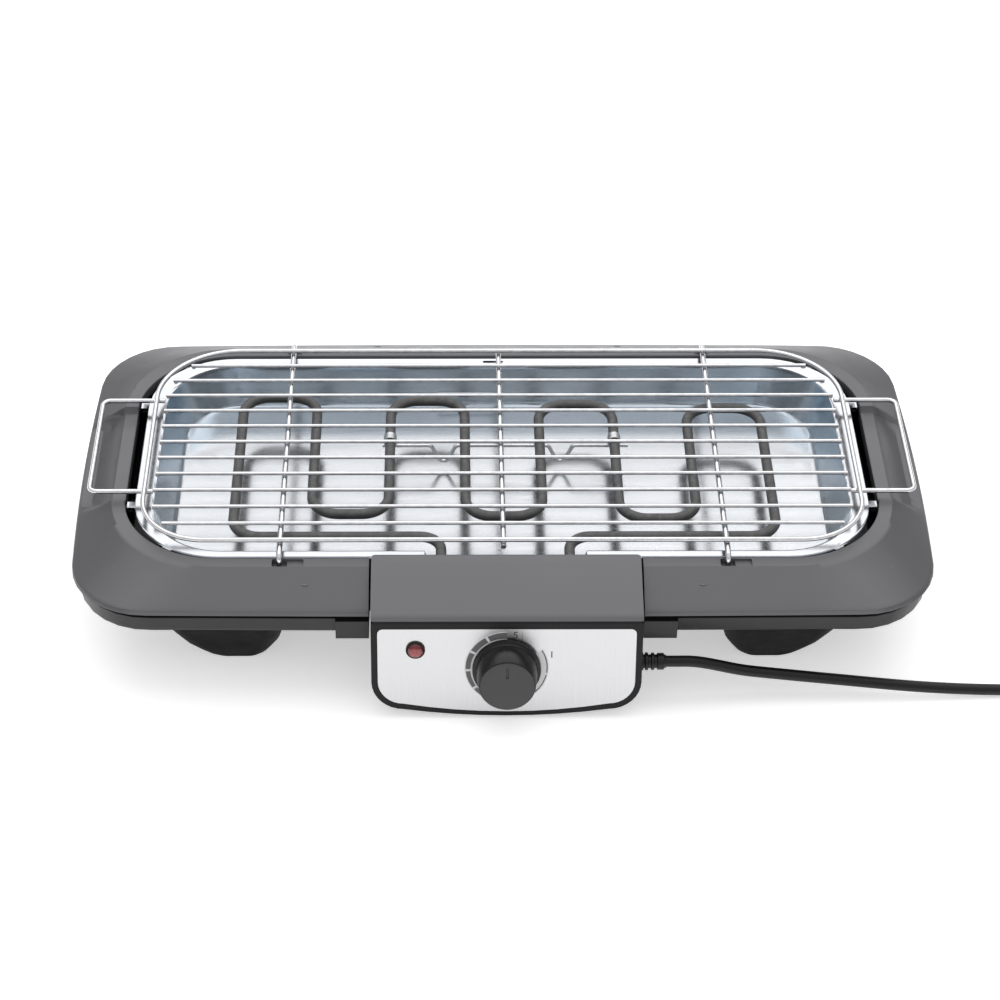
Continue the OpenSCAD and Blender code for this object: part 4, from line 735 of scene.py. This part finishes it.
def make_knob():
    edge = 1.3
    profile = [(FLANGE_R - 0.5, 0), (FLANGE_R, 0.4), (FLANGE_R, 1.9), (FLANGE_R - 0.15, 2.4),
               (FLANGE_R - 0.6, 2.75), (FLANGE_R - 1.4, 2.85), (FACE_R + 2.2, 2.95), (FACE_R + 1.8, 3.4),
               (FACE_R + 1.6, 4.4), (FACE_R + 0.35, KNOB_L - edge - 0.3)]
    for i in range(5):
        a = math.radians(90 * i / 4)
        profile.append((FACE_R - edge + edge * math.cos(a) * 1.1, KNOB_L - edge + edge * math.sin(a)))
    knob = turned("knob_moulding", profile, 128)
    pointer = rounded_block("pointer_cutter", (1.5, FACE_R * 0.46, 1.6), (0, FACE_R * 0.55, KNOB_L), 0.45)
    cut(knob, pointer)
    smooth(knob, 32)
    place(knob, on_front(0, 0, KNOB_GAP * MM), FRONT_TURN)
    finish(knob, "dial", "knob_plastic", FINISHES["knob"], FINISHES["knob_face"])
    top = on_front(0, 0, (KNOB_GAP + KNOB_L - 0.9) * MM)
    for face in knob.data.polygons:
        on_axis = face.center - KNOB - OUT * (face.center - KNOB).dot(OUT)
        if (face.center - top).dot(OUT) > 0 and on_axis.length < (FACE_R - 0.6) * MM:
            face.material_index = 1
    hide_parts("knob")


# Printed dial: bars that thin out as the knob is turned down, on a pale ground, and plain numbers

SCALE_R = 24.5
SCALE_SPANS = [(0, 28), (32, 60), (64, 92), (96, 124), (128, 157), (161, 190), (194, 221),
               (225, 258), (262, 300)]


def scale_width(turn):
    return max(0.7, 4.25 - 0.0150 * turn)


def make_ring_bars(name, outer, inner_of_turn, spans, low, high, material):
    """Flat printed bars: a ring with its inner edge drawn in by the turn, its gaps taken out."""
    deselect()
    bpy.ops.mesh.primitive_circle_add(vertices=360, radius=outer * MM, fill_type="NOTHING")
    bars = named(bpy.context.object, name)
    bpy.ops.object.mode_set(mode="EDIT")
    bpy.ops.mesh.select_all(action="SELECT")
    bpy.ops.mesh.extrude_edges_move(TRANSFORM_OT_translate={"value": (0, 0, 0)})
    bpy.ops.transform.resize(value=(0.8, 0.8, 1), center_override=(0, 0, 0))
    bpy.ops.object.mode_set(mode="OBJECT")
    for vertex in bars.data.vertices:
        if vertex.co.length < 0.9 * outer * MM:
            turn = (math.degrees(math.atan2(vertex.co.y, vertex.co.x)) - 90) % 360
            turn = 0 if turn > 359.5 else turn
            vertex.co *= inner_of_turn(turn) * MM / vertex.co.length

    def in_gap(middle):
        turn = (math.degrees(math.atan2(middle.y, middle.x)) - 90) % 360
        return not any(a < turn < b for a, b in spans)

    select_faces(bars, in_gap)
    bpy.ops.mesh.delete(type="FACE")
    bpy.ops.mesh.select_all(action="SELECT")
    bpy.ops.mesh.normals_make_consistent(inside=False)
    bpy.ops.mesh.extrude_region_move(TRANSFORM_OT_translate={"value": (0, 0, (high - low) * MM)})
    bpy.ops.mesh.select_all(action="SELECT")
    bpy.ops.mesh.normals_make_consistent(inside=False)
    bpy.ops.object.mode_set(mode="OBJECT")
    place(bars, on_front(0, 0, low * MM), FRONT_TURN)
    return finish(bars, "control_unit", "grey_plastic", material)


def make_number(digit, u, v, height):
    deselect()
    bpy.ops.object.text_add()
    text = bpy.context.object
    text.data.body = digit
    text.data.size = height / 0.7 * MM
    text.data.extrude = 0.02 * MM
    text.data.offset = 0.06 * MM
    text.data.resolution_u = 6
    text.data.align_x = "CENTER"
    text.data.align_y = "CENTER"
    bpy.ops.object.convert(target="MESH")
    number = named(bpy.context.object, "dial_number_" + digit)
    place(number, on_front(u * MM, v * MM, 0.02 * MM), FRONT_TURN)
    finish(number, "control_unit", "grey_plastic", FINISHES["ink"])


def make_dial():
    make_ring_bars("dial_ground", SCALE_R + 0.55, lambda turn: 19.6, [(-1, 301)], -0.01, 0.02,
                   FINISHES["pale_ink"])
    make_ring_bars("dial_bars", SCALE_R, lambda turn: SCALE_R - scale_width(turn), SCALE_SPANS, 0.0, 0.05,
                   FINISHES["bar_ink"])
    make_number("5", 5.2, 22.5, 4.4)
    make_number("1", 26.8, 9.0, 4.4)


# Lamp: a red dome in its black collar

def make_lamp():
    lens_r = 4.65
    profile = [(lens_r, 0), (lens_r, 0.7)]
    profile += [(lens_r * math.cos(math.radians(a)), 0.7 + 1.9 * math.sin(math.radians(a)))
                for a in (12, 24, 36, 48, 60, 71, 81, 87)]
    dome = turned("lamp_dome", profile, 64)
    smooth(dome, 50)
    place(dome, on_front(LAMP_U, LAMP_V, 0.42 * MM), FRONT_TURN)
    finish(dome, "control_unit", "red_lens", FINISHES["lens"])
    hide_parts("lamp_lens")


# Spot welds where the wires cross, each a small flattened bead

def make_welds():
    bars = middles("grid_bars", 1)
    crossing = middles("cross_wires", 0)
    seam = (RING_Z - RING_D / 2) / MM
    wanted = [(x, y, seam) for x in crossing for y in bars]
    wanted += [(x, ring_low.y / MM + RING_D / MM / 2, seam) for x in crossing]
    wanted += [(x, ring_high.y / MM - RING_D / MM / 2, seam) for x in crossing]
    for low, high in islands("grid_bars"):
        wanted += [(x, (low.y + high.y) / 2, seam) for x in (low.x + 1.5, high.x - 1.5)]
    deselect()
    bpy.ops.mesh.primitive_uv_sphere_add(segments=12, ring_count=6, radius=1.7 * MM)
    bead = settle(bpy.context.object)
    bpy.ops.object.mode_set(mode="EDIT")
    bpy.ops.mesh.select_all(action="SELECT")
    bpy.ops.transform.resize(value=(1.0, 1.0, 0.5), center_override=(0, 0, 0))
    bpy.ops.object.mode_set(mode="OBJECT")
    beads = []
    for number, spot in enumerate(wanted):
        copy = bpy.data.objects.new("bead", bead.data.copy())
        bpy.context.scene.collection.objects.link(copy)
        uneven = (0.9 + 0.2 * math.sin(number * 1.7), 1.0 + 0.15 * math.sin(number * 2.3), 1.0)
        beads.append(place(copy, Vector(spot) * MM, Matrix.Diagonal(uneven)))
    bpy.data.objects.remove(bead)
    welds = smooth(join(beads, "spot_welds"), 60)
    finish(welds, "grid", "grid_chrome", FINISHES["weld"])


make_knob()
make_dial()
make_lamp()
make_welds()


# Floor and light

FLOOR_SIZE = 9.0
FLOOR_GLOW = 0.48


def make_floor():
    """A pale floor with a glow, seen by the camera and in gloss only, that makes it white."""
    deselect()
    bpy.ops.mesh.primitive_plane_add(size=FLOOR_SIZE)
    floor = named(bpy.context.object, "floor")
    f = Finish("floor_white")
    f.set(Roughness=0.9, Specular_IOR_Level=0.1)
    f.colour(f.ramp(f.noise(3.0), [(0.3, (0.90, 0.90, 0.90)), (0.7, (0.92, 0.92, 0.92))]))
    path = f.node("ShaderNodeLightPath")
    glow = f.node("ShaderNodeEmission")
    glow.inputs["Color"].default_value = (1, 1, 1, 1)
    either = f.node("ShaderNodeMath", operation="MAXIMUM")
    f.link(path.outputs["Is Camera Ray"], either.inputs[0])
    f.link(path.outputs["Is Glossy Ray"], either.inputs[1])
    strength = f.node("ShaderNodeMath", operation="MULTIPLY")
    strength.inputs[1].default_value = FLOOR_GLOW
    f.link(either.outputs[0], strength.inputs[0])
    f.link(strength.outputs[0], glow.inputs["Strength"])
    both = f.node("ShaderNodeAddShader")
    f.link(f.shader.outputs[0], both.inputs[0])
    f.link(glow.outputs[0], both.inputs[1])
    f.link(both.outputs[0], f.tree.nodes["Material Output"].inputs["Surface"])
    floor.data.materials.append(f.material)


def soft_light(name, place, aim, size, power):
    data = bpy.data.lights.new(name, "AREA")
    data.shape = "RECTANGLE"
    data.size, data.size_y = size
    data.energy = power
    lamp = bpy.data.objects.new(name, data)
    lamp.location = place
    lamp.rotation_euler = (Vector(aim) - Vector(place)).to_track_quat("-Z", "Y").to_euler()
    bpy.context.scene.collection.objects.link(lamp)


def make_world():
    """White as the camera sees it; for light and gloss a sky that grows from grey to pale with height."""
    world = bpy.data.worlds.new("studio")
    world.use_nodes = True
    bpy.context.scene.world = world
    tree = world.node_tree
    link = tree.links.new
    direction = tree.nodes.new("ShaderNodeTexCoord")
    height = tree.nodes.new("ShaderNodeSeparateXYZ")
    link(direction.outputs["Generated"], height.inputs[0])
    sky = tree.nodes.new("ShaderNodeValToRGB")
    for element, (place_on, level) in zip(sky.color_ramp.elements, ((0.15, 0.40), (0.55, 0.80))):
        element.position = place_on
        element.color = (level, level, level * 1.02, 1)
    link(height.outputs[2], sky.inputs["Fac"])
    fill = tree.nodes["Background"]
    fill.inputs["Strength"].default_value = 1.0
    link(sky.outputs["Color"], fill.inputs["Color"])
    seen = tree.nodes.new("ShaderNodeBackground")
    seen.inputs["Color"].default_value = (1, 1, 1, 1)
    seen.inputs["Strength"].default_value = 1.0
    path = tree.nodes.new("ShaderNodeLightPath")
    shown = tree.nodes.new("ShaderNodeMath")
    shown.operation = "MAXIMUM"
    mix = tree.nodes.new("ShaderNodeMixShader")
    link(path.outputs["Is Camera Ray"], shown.inputs[0])
    link(path.outputs["Is Transmission Ray"], shown.inputs[1])
    link(shown.outputs[0], mix.inputs["Fac"])
    link(fill.outputs[0], mix.inputs[1])
    link(seen.outputs[0], mix.inputs[2])
    link(mix.outputs[0], tree.nodes["World Output"].inputs["Surface"])


make_floor()
make_world()
soft_light("overhead", (0.0, 0.5, 1.9), (0, 0, 0), (3.0, 1.8), 15.0)
soft_light("rear", (0.0, 1.66, 1.45), (0, 0, 0.05), (2.0, 1.2), 7.2)
bpy.context.scene.view_settings.view_transform = "Standard"

deselect()
